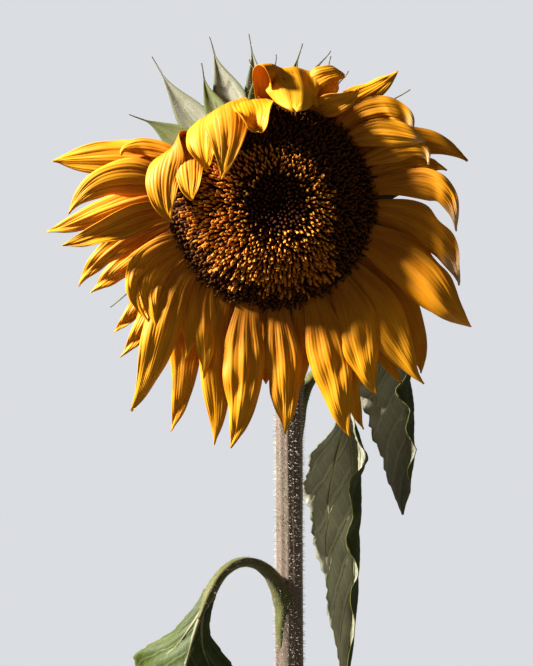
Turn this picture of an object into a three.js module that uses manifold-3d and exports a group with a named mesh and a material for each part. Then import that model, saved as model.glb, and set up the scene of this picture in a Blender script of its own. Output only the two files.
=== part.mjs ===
// A sunflower plant: one stem from the ground, limp heart-shaped leaves on arched stalks,
// and one large nodding flower head whose upper ray florets fold down over the disc.
// Millimetres, +Z up. The origin is the centre of the flat cut at ground level; the flower faces -Y.

import * as THREE from 'three';
import { mergeVertices } from 'three/addons/utils/BufferGeometryUtils.js';
import Module from 'manifold-3d';

const wasm = await Module();
wasm.setup();

// ---- Driving dimensions, in millimetres and degrees ----

const CLEARANCE = 0.3; // gap between solids that touch on the plant

const STEM = { height: 1118, footRadius: 17, lowRadius: 13, topRadius: 9.2, flareHeight: 40, sway: 1.6 };
const NECK = { endRadius: 12.5, rise: 44, reach: 34 };

// The head's frame has its origin at the centre of the disc's rim: x right, y up, z forward.
const HEAD = { centre: [-10.9, -80, 1190.4], nod: 6, turn: -3 };
const RECEPTACLE = { radius: 60, rimDepth: 14, depth: 36, backRadius: 14 };
const DISC = { radius: 66.5, dome: 21, hollow: 3.5, hollowRadius: 26 };
const RAY_COLLAR = { outer: 66, back: 6 };
const RAY = { root: 0.5, widestAt: 0.42, tipHalfWidth: 0.5, thickness: 1.1, steps: 6, foldedSteps: 7,
  rowDepth: 1.7, out: 0.62, lift: 0.6 };
const BRACT = { thickness: 1.2, steps: 4, tipHalfWidth: 0.4, collarDepth: 3.7 };
const LEAF = { thickness: 2.3, steps: 8, columns: 2, widestAt: 0.42, rootWidth: 0.1 };
const PETIOLE = { rootRadius: 6.2, tipRadius: 3.7, sides: 8, steps: 7 };

// Ray florets, from the left of the head round its foot and back over its top.
// clock: where the floret leaves the rim, in degrees from the right. via and tip: the middle and the
// end of its centre line, [right, up, forward] of the disc's centre. row: 0 in front to 2 at the back.
// cup: degrees that its edges turn back. out: how far it runs outwards before it bends, where it folds.
// blunt: how blunt its tip is, 0 to 1. face: the clock angle that the side of a folded floret turns to.
const RAYS = {
  left: [
    { clock: 152, via: [-82, 38, -4], tip: [-98, 34, -2], width: 13, row: 1, cup: 20 },
    { clock: 158, via: [-105, 31, -9], tip: [-144, 29, -12], width: 26, row: 2, cup: 12 },
    { clock: 167, via: [-99, 18, 4], tip: [-132, -4, 4], width: 27, row: 1, cup: 18 },
    { clock: 174, via: [-105, -2, -6], tip: [-149, -17, -12], width: 21, row: 2, cup: 14 },
    { clock: 182, via: [-99, -12, 8], tip: [-136, -25, 8], width: 21, row: 0, cup: -20 },
    { clock: 189, via: [-100, -25, 1], tip: [-127, -52, -2], width: 18, row: 1, cup: 14 },
    { clock: 195, via: [-92, -34, -7], tip: [-120, -57, -9], width: 20, row: 2, cup: 12 },
  ],
  lower_left: [
    { clock: 199, via: [-85, -36, 5], tip: [-80, -76, 6], width: 14, row: 0, cup: 12, out: 10 },
    { clock: 206, via: [-77, -44, 4], tip: [-72, -86, 7], width: 19, row: 0, cup: 10 },
    { clock: 207, via: [-82, -55, -8], tip: [-105, -83, -9], width: 17, row: 2, cup: 14 },
    { clock: 212, via: [-78, -65, -1], tip: [-100, -99, -3], width: 18, row: 1, cup: 14 },
    { clock: 217, via: [-73, -82, 8], tip: [-92, -133, 8], width: 26, row: 0, cup: 14 },
    { clock: 222, via: [-54, -69, 1], tip: [-57, -100, 0], width: 14, row: 1, cup: 16 },
    { clock: 227, via: [-58, -94, -7], tip: [-68, -149, -8], width: 23, row: 2, cup: 12 },
    { clock: 232, via: [-45, -80, 2], tip: [-45, -112, 2], width: 17, row: 1, cup: 18 },
  ],
  bottom: [
    { clock: 241, via: [-38, -104, -1], tip: [-39, -157, -3], width: 24, row: 1, cup: 14 },
    { clock: 248, via: [-27, -102, -8], tip: [-27, -139, -9], width: 20, row: 2, cup: 10 },
    { clock: 256, via: [-19, -109, 7], tip: [-27, -157, 8], width: 29, row: 0, cup: 14 },
    { clock: 265, via: [-6, -94, -7], tip: [-5, -117, -7], width: 20, row: 2, cup: 10 },
    { clock: 273, via: [7, -108, 4], tip: [8, -149, 4], width: 26, row: 1, cup: 16 },
    { clock: 285, via: [18, -94, -7], tip: [16, -125, -8], width: 17, row: 2, cup: 12 },
    { clock: 294, via: [38, -103, 8], tip: [50, -150, 8], width: 29, row: 0, cup: 14 },
    { clock: 301, via: [41, -89, 0], tip: [48, -123, 0], width: 19, row: 1, cup: 20 },
    { clock: 305, via: [49, -99, -9], tip: [59, -148, -10], width: 19, row: 2, cup: 12 },
  ],
  lower_right: [
    { clock: 311, via: [56, -84, 7], tip: [67, -122, 6], width: 30, row: 0, cup: 14 },
    { clock: 316, via: [66, -80, -8], tip: [84, -117, -8], width: 20, row: 2, cup: 12 },
    { clock: 320, via: [73, -76, 5], tip: [98, -115, 6], width: 30, row: 1, cup: 14 },
    { clock: 330, via: [86, -69, -9], tip: [97, -110, -9], width: 23, row: 2, cup: 12 },
    { clock: 341, via: [97, -48, 14], tip: [129, -80, 8], width: 40, row: 0, cup: 34 },
  ],
  right: [
    { clock: 357, via: [99, -15, 4], tip: [121, -51, 4], width: 27, row: 1, cup: 12 },
    { clock: 10, via: [104, 12, 9], tip: [119, -16, 8], width: 21, row: 0, cup: 8, out: 40 },
    { clock: 17, via: [88, 25, -1], tip: [112, 23, 2], width: 16, row: 1, cup: 14 },
    { clock: 25, via: [86, 36, 4], tip: [101, 27, 5], width: 14, row: 0, cup: 16 },
    { clock: 32, via: [91, 42, -9], tip: [126, 29, -11], width: 20, row: 2, cup: 12 },
    { clock: 39, via: [76, 46, 6], tip: [99, 41, 5], width: 20, row: 0, cup: 14 },
    { clock: 48, via: [71, 60, 1], tip: [91, 44, 4], width: 22, row: 1, cup: 16 },
    { clock: 56, via: [58, 70, -9], tip: [81, 86, -11], width: 18, row: 2, cup: 14 },
  ],
  top: [
    { clock: 65, via: [41, 66, 6], tip: [56, 75, 6], width: 17, row: 0, cup: -16 },
    { clock: 72, via: [33, 78, 2], tip: [47, 83, 1], width: 25, row: 2, cup: 16 },
    { clock: 79, via: [19, 80, 3], tip: [30, 64, 12], width: 25, row: 1, cup: -24, out: 30, face: 166 },
    { clock: 90, via: [8, 88.5, 2], tip: [16, 61, 20], width: 41, row: 1, cup: -32,
      out: 34, blunt: 0.75, face: 178 },
    { clock: 103, via: [-11, 66, 18], tip: [-10, 49, 26], width: 26, row: 0, cup: -6,
      out: 16, blunt: 1, face: 182 },
    { clock: 113, via: [-28, 58, 21], tip: [-31, 19, 27], width: 33, row: 0, cup: -16, out: 26, face: 186 },
    { clock: 123, via: [-43, 50, 18], tip: [-41, 24, 23], width: 29, row: 1, cup: -16, out: 24, face: 205 },
    { clock: 133, via: [-53, 33, 15], tip: [-51, 5, 20], width: 23, row: 1, cup: -16, out: 24, face: 200 },
    { clock: 143, via: [-69, 25, 16], tip: [-64, -9, 19], width: 27, row: 0, cup: -18, out: 28, face: 200 },
  ],
};

// The green bracts behind the ray florets, in two whorls.
// [clock of the base, clock of the tip, reach from the centre, width]
const BRACTS = {
  inner: [
    [6, 4, 95, 17], [23, 25, 98, 17], [42, 41, 117, 15], [55, 54, 98, 15], [67, 67, 104, 15],
    [81, 80, 107, 15], [97, 97, 96, 17], [121, 118, 104, 17], [136, 138, 88, 16], [145, 147, 112, 23],
    [162, 160, 88, 16], [180, 182, 99, 17], [195, 197, 101, 18], [210, 211, 129, 15], [228, 226, 97, 17],
    [246, 248, 94, 18], [264, 262, 99, 17], [281, 283, 96, 17], [298, 296, 101, 18], [315, 317, 97, 17],
    [332, 330, 100, 17], [349, 351, 97, 18],
  ],
  outer: [
    [14, 17, 104, 18], [33, 31, 101, 17], [61, 63, 99, 16], [74, 71, 108, 18], [89, 91, 98, 16],
    [98, 98, 113, 19], [112, 112, 118, 26], [133, 130, 127, 25], [153, 156, 101, 18], [171, 169, 103, 18],
    [188, 190, 106, 17], [220, 218, 104, 17], [237, 239, 102, 18], [255, 253, 107, 17], [273, 275, 101, 18],
    [290, 288, 107, 18], [307, 309, 103, 17], [324, 322, 106, 18], [341, 343, 102, 17],
  ],
};

// The three upper leaves. height and azimuth: where the stalk leaves the stem. reach, rise and end:
// the stalk's plan length, the height of its arch, and its tip's height above its root.
// hang: from the stalk's tip to the leaf's tip. fold: degrees that each half folds back.
// turn and twist: degrees that the blade is turned at its root, and turns on towards its tip.
// widest: how far down the blade its greatest width lies. neck: how late the blade widens to it.
const UPPER_LEAVES = [
  { height: 1088, azimuth: 14, reach: 69, rise: 28, end: 40, hang: [10, 8, -149], width: 72,
    fold: [84, 26], turn: -58, twist: -8, wave: 12, widest: 0.4 },
  { height: 1040, azimuth: 50, reach: 60, rise: 28, end: 24, hang: [4, -2, -212], width: 80,
    fold: [74, 50], turn: -30, twist: 24, wave: 16, widest: 0.3 },
  { height: 922, azimuth: 222, reach: 71, rise: 24, end: 14, hang: [-25, -14, -168], width: 124,
    fold: [44, 38], turn: -50, twist: 6, wave: 12, widest: 0.5, neck: 1.7 },
];

// The lower leaves follow the last of them down the stem, one golden angle and one step apart.
const LOWER_LEAVES = { count: 8, step: 84, goldenAngle: 137.5, reach: 96, reachSpread: 22, length: 196,
  lengthSpread: 26, width: 150, rise: 20, drop: 8, seed: 11 };

const BRACT_RIM = RECEPTACLE.radius + CLEARANCE;
const BRACT_PLACES = {
  inner: { front: -RAY_COLLAR.back - CLEARANCE, lean: 13 },
  outer: { front: -RAY_COLLAR.back - BRACT.collarDepth - 2 * CLEARANCE, lean: 20 },
};

// ---- Small tools ----

const { degToRad, smoothstep, lerp, clamp } = THREE.MathUtils;
const UP = new THREE.Vector3(0, 0, 1);
const vector = (x, y, z) => new THREE.Vector3(x, y, z);

/** The direction in the XY plane at an angle from +X, in degrees. */
const heading = (angle) => vector(Math.cos(degToRad(angle)), Math.sin(degToRad(angle)), 0);

/** Repeatable random numbers from 0 to 1. */
function seeded(seed) {
  let state = seed >>> 0;
  return () => {
    state = (state + 0x6d2b79f5) >>> 0;
    let mixed = Math.imul(state ^ (state >>> 15), state | 1);
    mixed ^= mixed + Math.imul(mixed ^ (mixed >>> 7), mixed | 61);
    return ((mixed ^ (mixed >>> 14)) >>> 0) / 4294967296;
  };
}

/** Frames along a curve. The side direction is carried along it without spin. */
function framesAlong(curve, steps, side) {
  const carried = side.clone();
  const frames = [];
  for (let k = 0; k <= steps; k++) {
    const t = k / steps;
    const tangent = curve.getTangent(t);
    carried.addScaledVector(tangent, -carried.dot(tangent)).normalize();
    const normal = vector(0, 0, 0).crossVectors(tangent, carried);
    frames.push({ t, point: curve.getPoint(t), tangent, side: carried.clone(), normal });
  }
  return frames;
}

/**
 * A closed geometry through rings that run anticlockwise seen from the far end. The two halves of
 * each ring are creased in mirrored ways, so that both faces of a thin blade run side by side.
 */
function loft(rings) {
  const n = rings[0].length;
  const indices = [];
  for (let k = 0; k + 1 < rings.length; k++)
    for (let i = 0; i < n; i++) {
      const a = k * n + i;
      const b = k * n + ((i + 1) % n);
      if (i < n / 2) indices.push(a, b, b + n, a, b + n, a + n);
      else indices.push(a, b, a + n, b, b + n, a + n);
    }
  const last = (rings.length - 1) * n;
  for (let i = 0; i < n / 2 - 1; i++) {
    const quad = [i, i + 1, n - 2 - i, n - 1 - i];
    const [a, b, c, d] = quad;
    indices.push(a, c, b, a, d, c);
    indices.push(last + a, last + b, last + c, last + a, last + c, last + d);
  }
  const geometry = new THREE.BufferGeometry();
  const positions = rings.flat().flatMap((p) => p.toArray());
  geometry.setAttribute('position', new THREE.Float32BufferAttribute(positions, 3));
  geometry.setIndex(indices);
  return geometry;
}

/** A round limb along frames, whose radius follows t. */
function limb(frames, radiusAt, sides) {
  return loft(frames.map(({ t, point, side, normal }) =>
    Array.from({ length: sides }, (_, i) => {
      const angle = (2 * Math.PI * i) / sides;
      const radius = radiusAt(t);
      return point.clone()
        .addScaledVector(side, radius * Math.cos(angle))
        .addScaledVector(normal, radius * Math.sin(angle));
    })));
}

/**
 * A thin blade along frames. Each half runs out from the midrib in columns, bent back by
 * fold(t, half, s) degrees.
 */
function blade(frames, { halfWidth, fold, columns, thickness, grow = 0 }) {
  const rings = frames.map(({ t, point, tangent, side, normal }, k) => {
    const upper = [];
    const lower = [];
    const step = (halfWidth(t) + grow) / columns;
    const lengthwise = k === 0 ? -grow : k === frames.length - 1 ? grow : 0;
    const place = (at, outward) => {
      const moved = at.clone().addScaledVector(tangent, lengthwise);
      upper.push(moved.clone().addScaledVector(outward, thickness / 2 + grow));
      lower.push(moved.addScaledVector(outward, -thickness / 2 - grow));
    };
    for (const half of [-1, 1]) {
      let at = point.clone();
      const places = [];
      for (let c = 1; c <= columns; c++) {
        const bend = degToRad(fold(t, half, c / columns));
        at = at.clone()
          .addScaledVector(side, half * step * Math.cos(bend))
          .addScaledVector(normal, -step * Math.sin(bend));
        const outward = normal.clone().multiplyScalar(Math.cos(bend))
          .addScaledVector(side, half * Math.sin(bend));
        places.push([at, outward]);
      }
      if (half < 0) {
        places.reverse().forEach((p) => place(...p));
        place(point, normal);
      } else places.forEach((p) => place(...p));
    }
    return [...lower, ...upper.reverse()];
  });
  return loft(rings);
}

/** A geometry as a solid that can be cut and joined. */
function solidOf(geometry) {
  const bare = new THREE.BufferGeometry().setAttribute('position', geometry.getAttribute('position').clone());
  if (geometry.index) bare.setIndex(geometry.index.clone());
  const merged = mergeVertices(bare, 1e-4);
  return new wasm.Manifold(new wasm.Mesh({
    numProp: 3,
    vertProperties: new Float32Array(merged.attributes.position.array),
    triVerts: new Uint32Array(merged.index.array),
  }));
}

const union = (solids) => solids.reduce((joined, next) => joined.add(next));

/** The largest piece of a solid as a geometry; scraps that a cut leaves loose are dropped. */
function geometryOf(solid) {
  const [largest] = solid.decompose().sort((a, b) => b.volume() - a.volume());
  const { vertProperties, triVerts } = largest.getMesh();
  const geometry = new THREE.BufferGeometry();
  geometry.setAttribute('position', new THREE.Float32BufferAttribute(vertProperties, 3));
  geometry.setIndex(Array.from(triVerts));
  return geometry;
}

/** A solid of revolution about z from [radius, z] points that run from the back to the front. */
function turned(profile, segments) {
  const points = profile.map(([radius, z]) => new THREE.Vector2(radius, z));
  return new THREE.LatheGeometry(points, segments).rotateX(Math.PI / 2);
}

/** A flat ring about z. */
const ring = (inner, outer, back, front, segments = 48) =>
  solidOf(turned([[inner, back], [outer, back], [outer, front], [inner, front], [inner, back]], segments));

// ---- Stem and neck ----

/** The stem's centre line: a slight sway, upright at both ends. */
function stemAxis(z) {
  const share = z / STEM.height;
  return vector(
    -STEM.sway * Math.sin(2 * Math.PI * share),
    0.6 * STEM.sway * Math.sin(3 * Math.PI * share) * (1 - share),
    z,
  );
}

/** The stem thins upwards and flares out into its foot. */
function stemRadius(z) {
  const flare = Math.max(0, 1 - z / STEM.flareHeight);
  return lerp(STEM.lowRadius, STEM.topRadius, Math.min(1, z / 900)) +
    (STEM.footRadius - STEM.lowRadius) * flare * flare;
}

/** The stem from level rings, grown outwards by a clearance where something is cut to fit it. */
function stemGeometry(grow = 0) {
  const heights = [0, 10, 22, 40, 110, 230, 350, 470, 590, 710, 830, 950, 1040, STEM.height];
  return loft(heights.map((z) => {
    const centre = stemAxis(z);
    return Array.from({ length: 16 }, (_, i) =>
      centre.clone().addScaledVector(heading((360 * i) / 16), stemRadius(z) + grow));
  }));
}

/** Where the head's frame puts a point of its own. */
function headMatrix() {
  const turn = new THREE.Euler(degToRad(90 + HEAD.nod), 0, degToRad(HEAD.turn), 'ZYX');
  return new THREE.Matrix4().makeRotationFromEuler(turn).setPosition(...HEAD.centre);
}

/** The neck bends forward from the top of the stem into the back of the head. */
function neckGeometry() {
  const foot = stemAxis(STEM.height).setZ(STEM.height + CLEARANCE);
  const end = vector(0, 0, -RECEPTACLE.depth - CLEARANCE).applyMatrix4(headMatrix());
  const facing = vector(0, 0, 1).transformDirection(headMatrix());
  const curve = new THREE.CubicBezierCurve3(
    foot,
    foot.clone().addScaledVector(UP, NECK.rise),
    end.clone().addScaledVector(facing, -NECK.reach),
    end,
  );
  const radius = (t) => lerp(STEM.topRadius, NECK.endRadius, t * t);
  return limb(framesAlong(curve, 9, vector(1, 0, 0)), radius, 14);
}

// ---- Flower head, in its own frame ----

/** The green receptacle: a thick dish with a straight rim and a back that narrows to the neck. */
function receptacleGeometry() {
  const { radius, rimDepth, depth, backRadius } = RECEPTACLE;
  const profile = [[0, -depth], [backRadius, -depth]];
  for (const share of [0.25, 0.5, 0.75, 1]) {
    const across = lerp(backRadius, radius, Math.sin((share * Math.PI) / 2));
    profile.push([across, lerp(-depth, -rimDepth, share ** 1.6)]);
  }
  profile.push([radius, 0], [0, 0]);
  return turned(profile, 40);
}

/** The height of the disc's domed face above its rim, with a shallow hollow in the middle. */
function discHeight(r) {
  const dome = DISC.dome * (1 - (r / DISC.radius) ** 3);
  const hollow = DISC.hollow * (1 - smoothstep(r, 0, DISC.hollowRadius));
  return dome - hollow;
}

/** The disc of small florets as one dome, grown by a clearance where something is cut to fit it. */
function discGeometry(grow = 0) {
  const rings = 9;
  const rim = DISC.radius + grow;
  const profile = [[0, CLEARANCE - grow], [rim - 3, CLEARANCE - grow], [rim, 3]];
  for (let k = rings - 1; k >= 0; k--) {
    const r = (DISC.radius * k) / rings;
    profile.push([r, Math.max(3.4, discHeight(r)) + grow]);
  }
  return turned(profile, 44);
}

/** How wide half a ray floret is at t: a narrow root, widest before the middle, and a pointed tip. */
function rayHalfWidth(t, width, blunt = 0) {
  const root = RAY.root + (1 - RAY.root) * smoothstep(t, 0, RAY.widestAt);
  const past = Math.max(0, (t - RAY.widestAt) / (1 - RAY.widestAt));
  const taper = (1 - past ** (1.6 + 4.5 * blunt)) ** (0.95 - 0.55 * blunt);
  return Math.max(RAY.tipHalfWidth, (width / 2) * root * taper);
}

/** The centre line of a ray floret, from inside the collar through its middle to its tip. */
function rayCurve({ clock, via, tip, out, row }) {
  const outward = heading(clock);
  const root = outward.clone().multiplyScalar(RAY_COLLAR.outer - 3).setZ(-1.4 - RAY.rowDepth * row);
  const middle = vector(...via);
  const end = vector(...tip);
  const reach = out ?? RAY.out * root.distanceTo(middle);
  const first = root.clone().addScaledVector(outward, reach);
  first.z += RAY.lift * (middle.z - root.z);
  // The second handle follows from the middle point that the curve passes halfway along.
  const second = middle.clone().multiplyScalar(8).sub(root).addScaledVector(first, -3).sub(end);
  return new THREE.CubicBezierCurve3(root, first, second.divideScalar(3), end);
}

/** Frames along a folded floret, whose side turns from the rim's direction to its own. */
function foldedFrames(ray) {
  return framesAlong(rayCurve(ray), RAY.foldedSteps, heading(ray.clock + 90)).map((frame) => {
    const side = heading(lerp(ray.clock + 90, ray.face, smoothstep(frame.t, 0.05, 0.75)));
    side.addScaledVector(frame.tangent, -side.dot(frame.tangent)).normalize();
    return { ...frame, side, normal: vector(0, 0, 0).crossVectors(frame.tangent, side) };
  });
}

/** One ray floret as a solid. */
function raySolid(ray, grow = 0) {
  const frames = ray.face === undefined
    ? framesAlong(rayCurve(ray), RAY.steps, heading(ray.clock + 90)) : foldedFrames(ray);
  return solidOf(blade(frames, {
    halfWidth: (t) => rayHalfWidth(t, ray.width, ray.blunt),
    fold: (t) => ray.cup * smoothstep(t, 0, 0.5),
    columns: 1,
    thickness: RAY.thickness,
    grow,
  }));
}

/** A wedge about z between two clock angles, narrowed by a clearance at both faces. */
function wedge(from, to, gap) {
  const reach = RAY_COLLAR.outer * 2;
  const shape = new THREE.Shape();
  const middle = heading((from + to) / 2).multiplyScalar(gap / Math.sin(degToRad((to - from) / 2)));
  shape.moveTo(middle.x, middle.y);
  for (let k = 0; k <= 4; k++) {
    const point = heading(lerp(from, to, k / 4)).multiplyScalar(reach).add(middle);
    shape.lineTo(point.x, point.y);
  }
  shape.closePath();
  const prism = new THREE.ExtrudeGeometry(shape, { depth: 40, bevelEnabled: false });
  return solidOf(prism.translate(0, 0, -20));
}

/** The ray florets in their groups, each fused to its arc of the collar and clear of the others. */
function rayGroups(disc) {
  const collar = ring(RECEPTACLE.radius + CLEARANCE, RAY_COLLAR.outer, -RAY_COLLAR.back, 0);
  const names = Object.keys(RAYS);
  const halfway = (a, b) => a + (((b - a + 540) % 360) - 180) / 2;
  const edges = names.map((name, k) => {
    const before = RAYS[names[(k + names.length - 1) % names.length]].at(-1).clock;
    return halfway(before, RAYS[name][0].clock);
  });
  let taken = disc;
  const groups = names.map((name, k) => {
    const from = edges[k];
    let to = edges[(k + 1) % names.length];
    while (to < from) to += 360;
    const arc = collar.intersect(wedge(from, to, CLEARANCE / 2));
    const others = collar.subtract(wedge(from, to, -CLEARANCE / 2));
    const group = union([arc, ...RAYS[name].map((ray) => raySolid(ray))]).subtract(taken).subtract(others);
    taken = union([taken, group, ...RAYS[name].map((ray) => raySolid(ray, CLEARANCE))]);
    return { name: `ray_florets_${name}`, geometry: geometryOf(group) };
  });
  return { groups, taken };
}

/** How wide half a bract is at t: an egg-shaped body drawn out into a thin tail. */
function bractHalfWidth(t, width) {
  const body = Math.sin(Math.PI * Math.min(1, 0.34 + t * 0.86)) ** 0.9;
  const tail = (1 - t) * 0.2;
  return Math.max(BRACT.tipHalfWidth, (width / 2) * (t < 0.72 ? Math.max(body, tail) : tail));
}

/** One bract as a solid. Its whorl's ring has its front at front, and its tip leans back from it. */
function bractSolid([base, point, reach, width], { front, lean }, grow = 0) {
  const root = heading(base).multiplyScalar(BRACT_RIM + 2).setZ(front - BRACT.collarDepth / 2);
  const tip = heading(point).multiplyScalar(reach).setZ(root.z - lean);
  const bend = root.clone().addScaledVector(heading(base), (reach - BRACT_RIM) * 0.5);
  bend.z -= lean * 0.9;
  const curve = new THREE.QuadraticBezierCurve3(root, bend, tip);
  return solidOf(blade(framesAlong(curve, BRACT.steps, heading(base + 90)), {
    halfWidth: (t) => bractHalfWidth(t, width),
    fold: () => -14,
    columns: 1,
    thickness: BRACT.thickness,
    grow,
  }));
}

/** One whorl of bracts, fused to its ring round the receptacle's rim. */
function bractWhorl(bracts, place) {
  const collar = ring(BRACT_RIM, BRACT_RIM + 4, place.front - BRACT.collarDepth, place.front);
  return union([collar, ...bracts.map((bract) => bractSolid(bract, place))]);
}

// ---- Leaves ----

/** All leaves from the top down: the upper three, and the lower ones by their rule. */
function allLeaves() {
  const random = seeded(LOWER_LEAVES.seed);
  const last = UPPER_LEAVES.at(-1);
  const spread = (amount) => lerp(-amount, amount, random());
  const lower = Array.from({ length: LOWER_LEAVES.count }, (_, k) => {
    const azimuth = (last.azimuth + LOWER_LEAVES.goldenAngle * (k + 1)) % 360;
    const height = last.height - LOWER_LEAVES.step * (k + 1);
    const reach = LOWER_LEAVES.reach + spread(LOWER_LEAVES.reachSpread);
    const length = Math.min(LOWER_LEAVES.length + spread(LOWER_LEAVES.lengthSpread), height - 40);
    const away = heading(azimuth + spread(30)).multiplyScalar(length * 0.14);
    return {
      height, azimuth, reach, rise: LOWER_LEAVES.rise + spread(5), end: -LOWER_LEAVES.drop,
      hang: [away.x, away.y, -length], width: LOWER_LEAVES.width + spread(14),
      fold: [46 + spread(12), 46 + spread(12)], turn: spread(26), twist: spread(34), wave: 18 + spread(5),
    };
  });
  return [...UPPER_LEAVES, ...lower];
}

/** The leaf stalk: up and out from the stem, over its arch, and down to the blade. */
function petioleCurve({ height, azimuth, reach, rise, end }) {
  const outward = heading(azimuth);
  const root = stemAxis(height).addScaledVector(outward, stemRadius(height) * 0.5);
  const tip = stemAxis(height).addScaledVector(outward, reach).addScaledVector(UP, end);
  const first = root.clone().addScaledVector(outward, reach * 0.2).addScaledVector(UP, rise * 1.45);
  const second = tip.clone().addScaledVector(outward, -reach * 0.26).addScaledVector(UP, rise * 1.15);
  return new THREE.CubicBezierCurve3(root, first, second, tip);
}

/** A leaf stalk as a solid, grown where something is cut to fit it. */
function petioleSolid(leaf, grow = 0) {
  const frames = framesAlong(petioleCurve(leaf), PETIOLE.steps, heading(leaf.azimuth + 90));
  const radius = (t) => grow + lerp(PETIOLE.rootRadius, PETIOLE.tipRadius, Math.min(1, t * 2.2));
  const stalk = solidOf(limb(frames, radius, PETIOLE.sides));
  return grow ? stalk : stalk.subtract(solidOf(stemGeometry(CLEARANCE)));
}

/** The midrib: on from the stalk's tip, then hanging under the leaf's own weight. */
function midribCurve(leaf) {
  const stalk = petioleCurve(leaf);
  const along = stalk.getTangent(1);
  const length = Math.abs(leaf.hang[2]);
  const root = stalk.getPoint(1).addScaledVector(along, CLEARANCE);
  const tip = root.clone().add(vector(...leaf.hang));
  const first = root.clone().addScaledVector(along, length * 0.26);
  const second = tip.clone().addScaledVector(UP, length * 0.4)
    .addScaledVector(heading(leaf.azimuth), length * 0.05);
  return new THREE.CubicBezierCurve3(root, first, second, tip);
}

/** How wide half a leaf is at t: narrow at its root, widest above the middle, drawn out to a point. */
function leafHalfWidth(t, { width, widest = LEAF.widestAt, neck = 1 }) {
  if (t < widest)
    return (width / 2) * lerp(LEAF.rootWidth, 1, smoothstep(t, 0, widest) ** neck);
  const past = (t - widest) / (1 - widest);
  return Math.max(1, (width / 2) * (1 - past) ** 0.85 * (1 + 0.35 * past));
}

/** One limp leaf blade, its halves folded back and waved, cut clear of its stalk. */
function leafSolid(leaf) {
  const side = heading(leaf.azimuth + 90);
  const frames = framesAlong(midribCurve(leaf), LEAF.steps, side).map((frame) => {
    const spin = degToRad(leaf.turn + leaf.twist * frame.t);
    return {
      ...frame,
      side: frame.side.clone().applyAxisAngle(frame.tangent, spin),
      normal: frame.normal.clone().applyAxisAngle(frame.tangent, spin),
    };
  });
  return solidOf(blade(frames, {
    halfWidth: (t) => leafHalfWidth(t, leaf),
    fold: (t, half, s) => {
      const wave = leaf.wave * Math.sin(2 * Math.PI * (1.4 * t + (half > 0 ? 0.15 : 0.6)));
      return leaf.fold[half > 0 ? 1 : 0] * (0.55 + 0.6 * s) + wave * s;
    },
    columns: LEAF.columns,
    thickness: LEAF.thickness,
  })).subtract(petioleSolid(leaf, CLEARANCE));
}

// ---- The plant ----

const material = (color, roughness = 0.7) => new THREE.MeshStandardMaterial({ color, roughness, metalness: 0 });
const MATERIALS = {
  stem: material(0x8a9a5b, 0.75),
  stalk: material(0x8b9a45, 0.7),
  leaf: material(0x4f6b2c, 0.8),
  receptacle: material(0x7c8f52, 0.8),
  bract: material(0x7f9460, 0.85),
  ray: material(0xf2a818, 0.55),
  disc: material(0x4a2a10, 0.9),
};

/** A named mesh of one sub-part. */
function piece(name, geometry, finish) {
  const mesh = new THREE.Mesh(geometry, finish);
  geometry.computeVertexNormals();
  mesh.name = name;
  return mesh;
}

const head = new THREE.Group();
head.applyMatrix4(headMatrix());
head.add(piece('receptacle', receptacleGeometry(), MATERIALS.receptacle));
head.add(piece('disc', discGeometry(), MATERIALS.disc));

const { groups, taken } = rayGroups(solidOf(discGeometry(CLEARANCE)));
for (const { name, geometry } of groups) head.add(piece(name, geometry, MATERIALS.ray));

const inner = bractWhorl(BRACTS.inner, BRACT_PLACES.inner).subtract(taken);
const inFront = union([taken, inner, ...BRACTS.inner.map((b) => bractSolid(b, BRACT_PLACES.inner, CLEARANCE))]);
const outer = bractWhorl(BRACTS.outer, BRACT_PLACES.outer).subtract(inFront);
head.add(piece('bracts_inner', geometryOf(inner), MATERIALS.bract));
head.add(piece('bracts_outer', geometryOf(outer), MATERIALS.bract));

const plant = new THREE.Group();
plant.name = 'sunflower_plant';
plant.add(piece('stem', stemGeometry(), MATERIALS.stem));
plant.add(piece('neck', neckGeometry(), MATERIALS.stem));
plant.add(head);
allLeaves().forEach((leaf, k) => {
  const number = String(k + 1).padStart(2, '0');
  plant.add(piece(`leaf_stalk_${number}`, geometryOf(petioleSolid(leaf)), MATERIALS.stalk));
  plant.add(piece(`leaf_blade_${number}`, geometryOf(leafSolid(leaf)), MATERIALS.leaf));
});

export default plant;
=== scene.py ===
"""The looks of a sunflower plant: a bristly stem, limp leaves and one large nodding head.

Sizes are in millimetres until a mesh is made. Meshes are in metres, in the frame of the solids.
"""

import logging
import math
from collections.abc import Sequence
from dataclasses import dataclass, field, replace
from enum import Enum

import bpy
import numpy as np
from mathutils import Euler, Matrix, Vector


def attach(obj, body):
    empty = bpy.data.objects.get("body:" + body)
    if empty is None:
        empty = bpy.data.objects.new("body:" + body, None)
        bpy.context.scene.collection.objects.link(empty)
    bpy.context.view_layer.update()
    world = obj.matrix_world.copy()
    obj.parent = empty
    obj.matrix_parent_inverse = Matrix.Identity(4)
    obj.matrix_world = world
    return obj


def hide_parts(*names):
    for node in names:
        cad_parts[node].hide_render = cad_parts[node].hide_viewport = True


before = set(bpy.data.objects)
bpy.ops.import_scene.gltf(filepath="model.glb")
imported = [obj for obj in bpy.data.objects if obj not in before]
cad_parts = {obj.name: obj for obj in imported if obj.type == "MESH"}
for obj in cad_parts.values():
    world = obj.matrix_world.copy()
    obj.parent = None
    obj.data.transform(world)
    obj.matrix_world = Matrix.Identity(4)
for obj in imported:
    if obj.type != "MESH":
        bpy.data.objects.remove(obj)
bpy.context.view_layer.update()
log = logging.getLogger("sunflower")

MM = 0.001
FULL_TURN = 6.283
SHEEN_ROUGHNESS = 0.4
# The side veins of a leaf: how many there are, and how far along the leaf one runs on its way out.
VEIN_ROWS = 8.0
VEIN_SLANT = 0.26
Array = np.ndarray
Triple = tuple[float, float, float]
Colour = tuple[float, float, float]


# ---- Small tools ----

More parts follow.
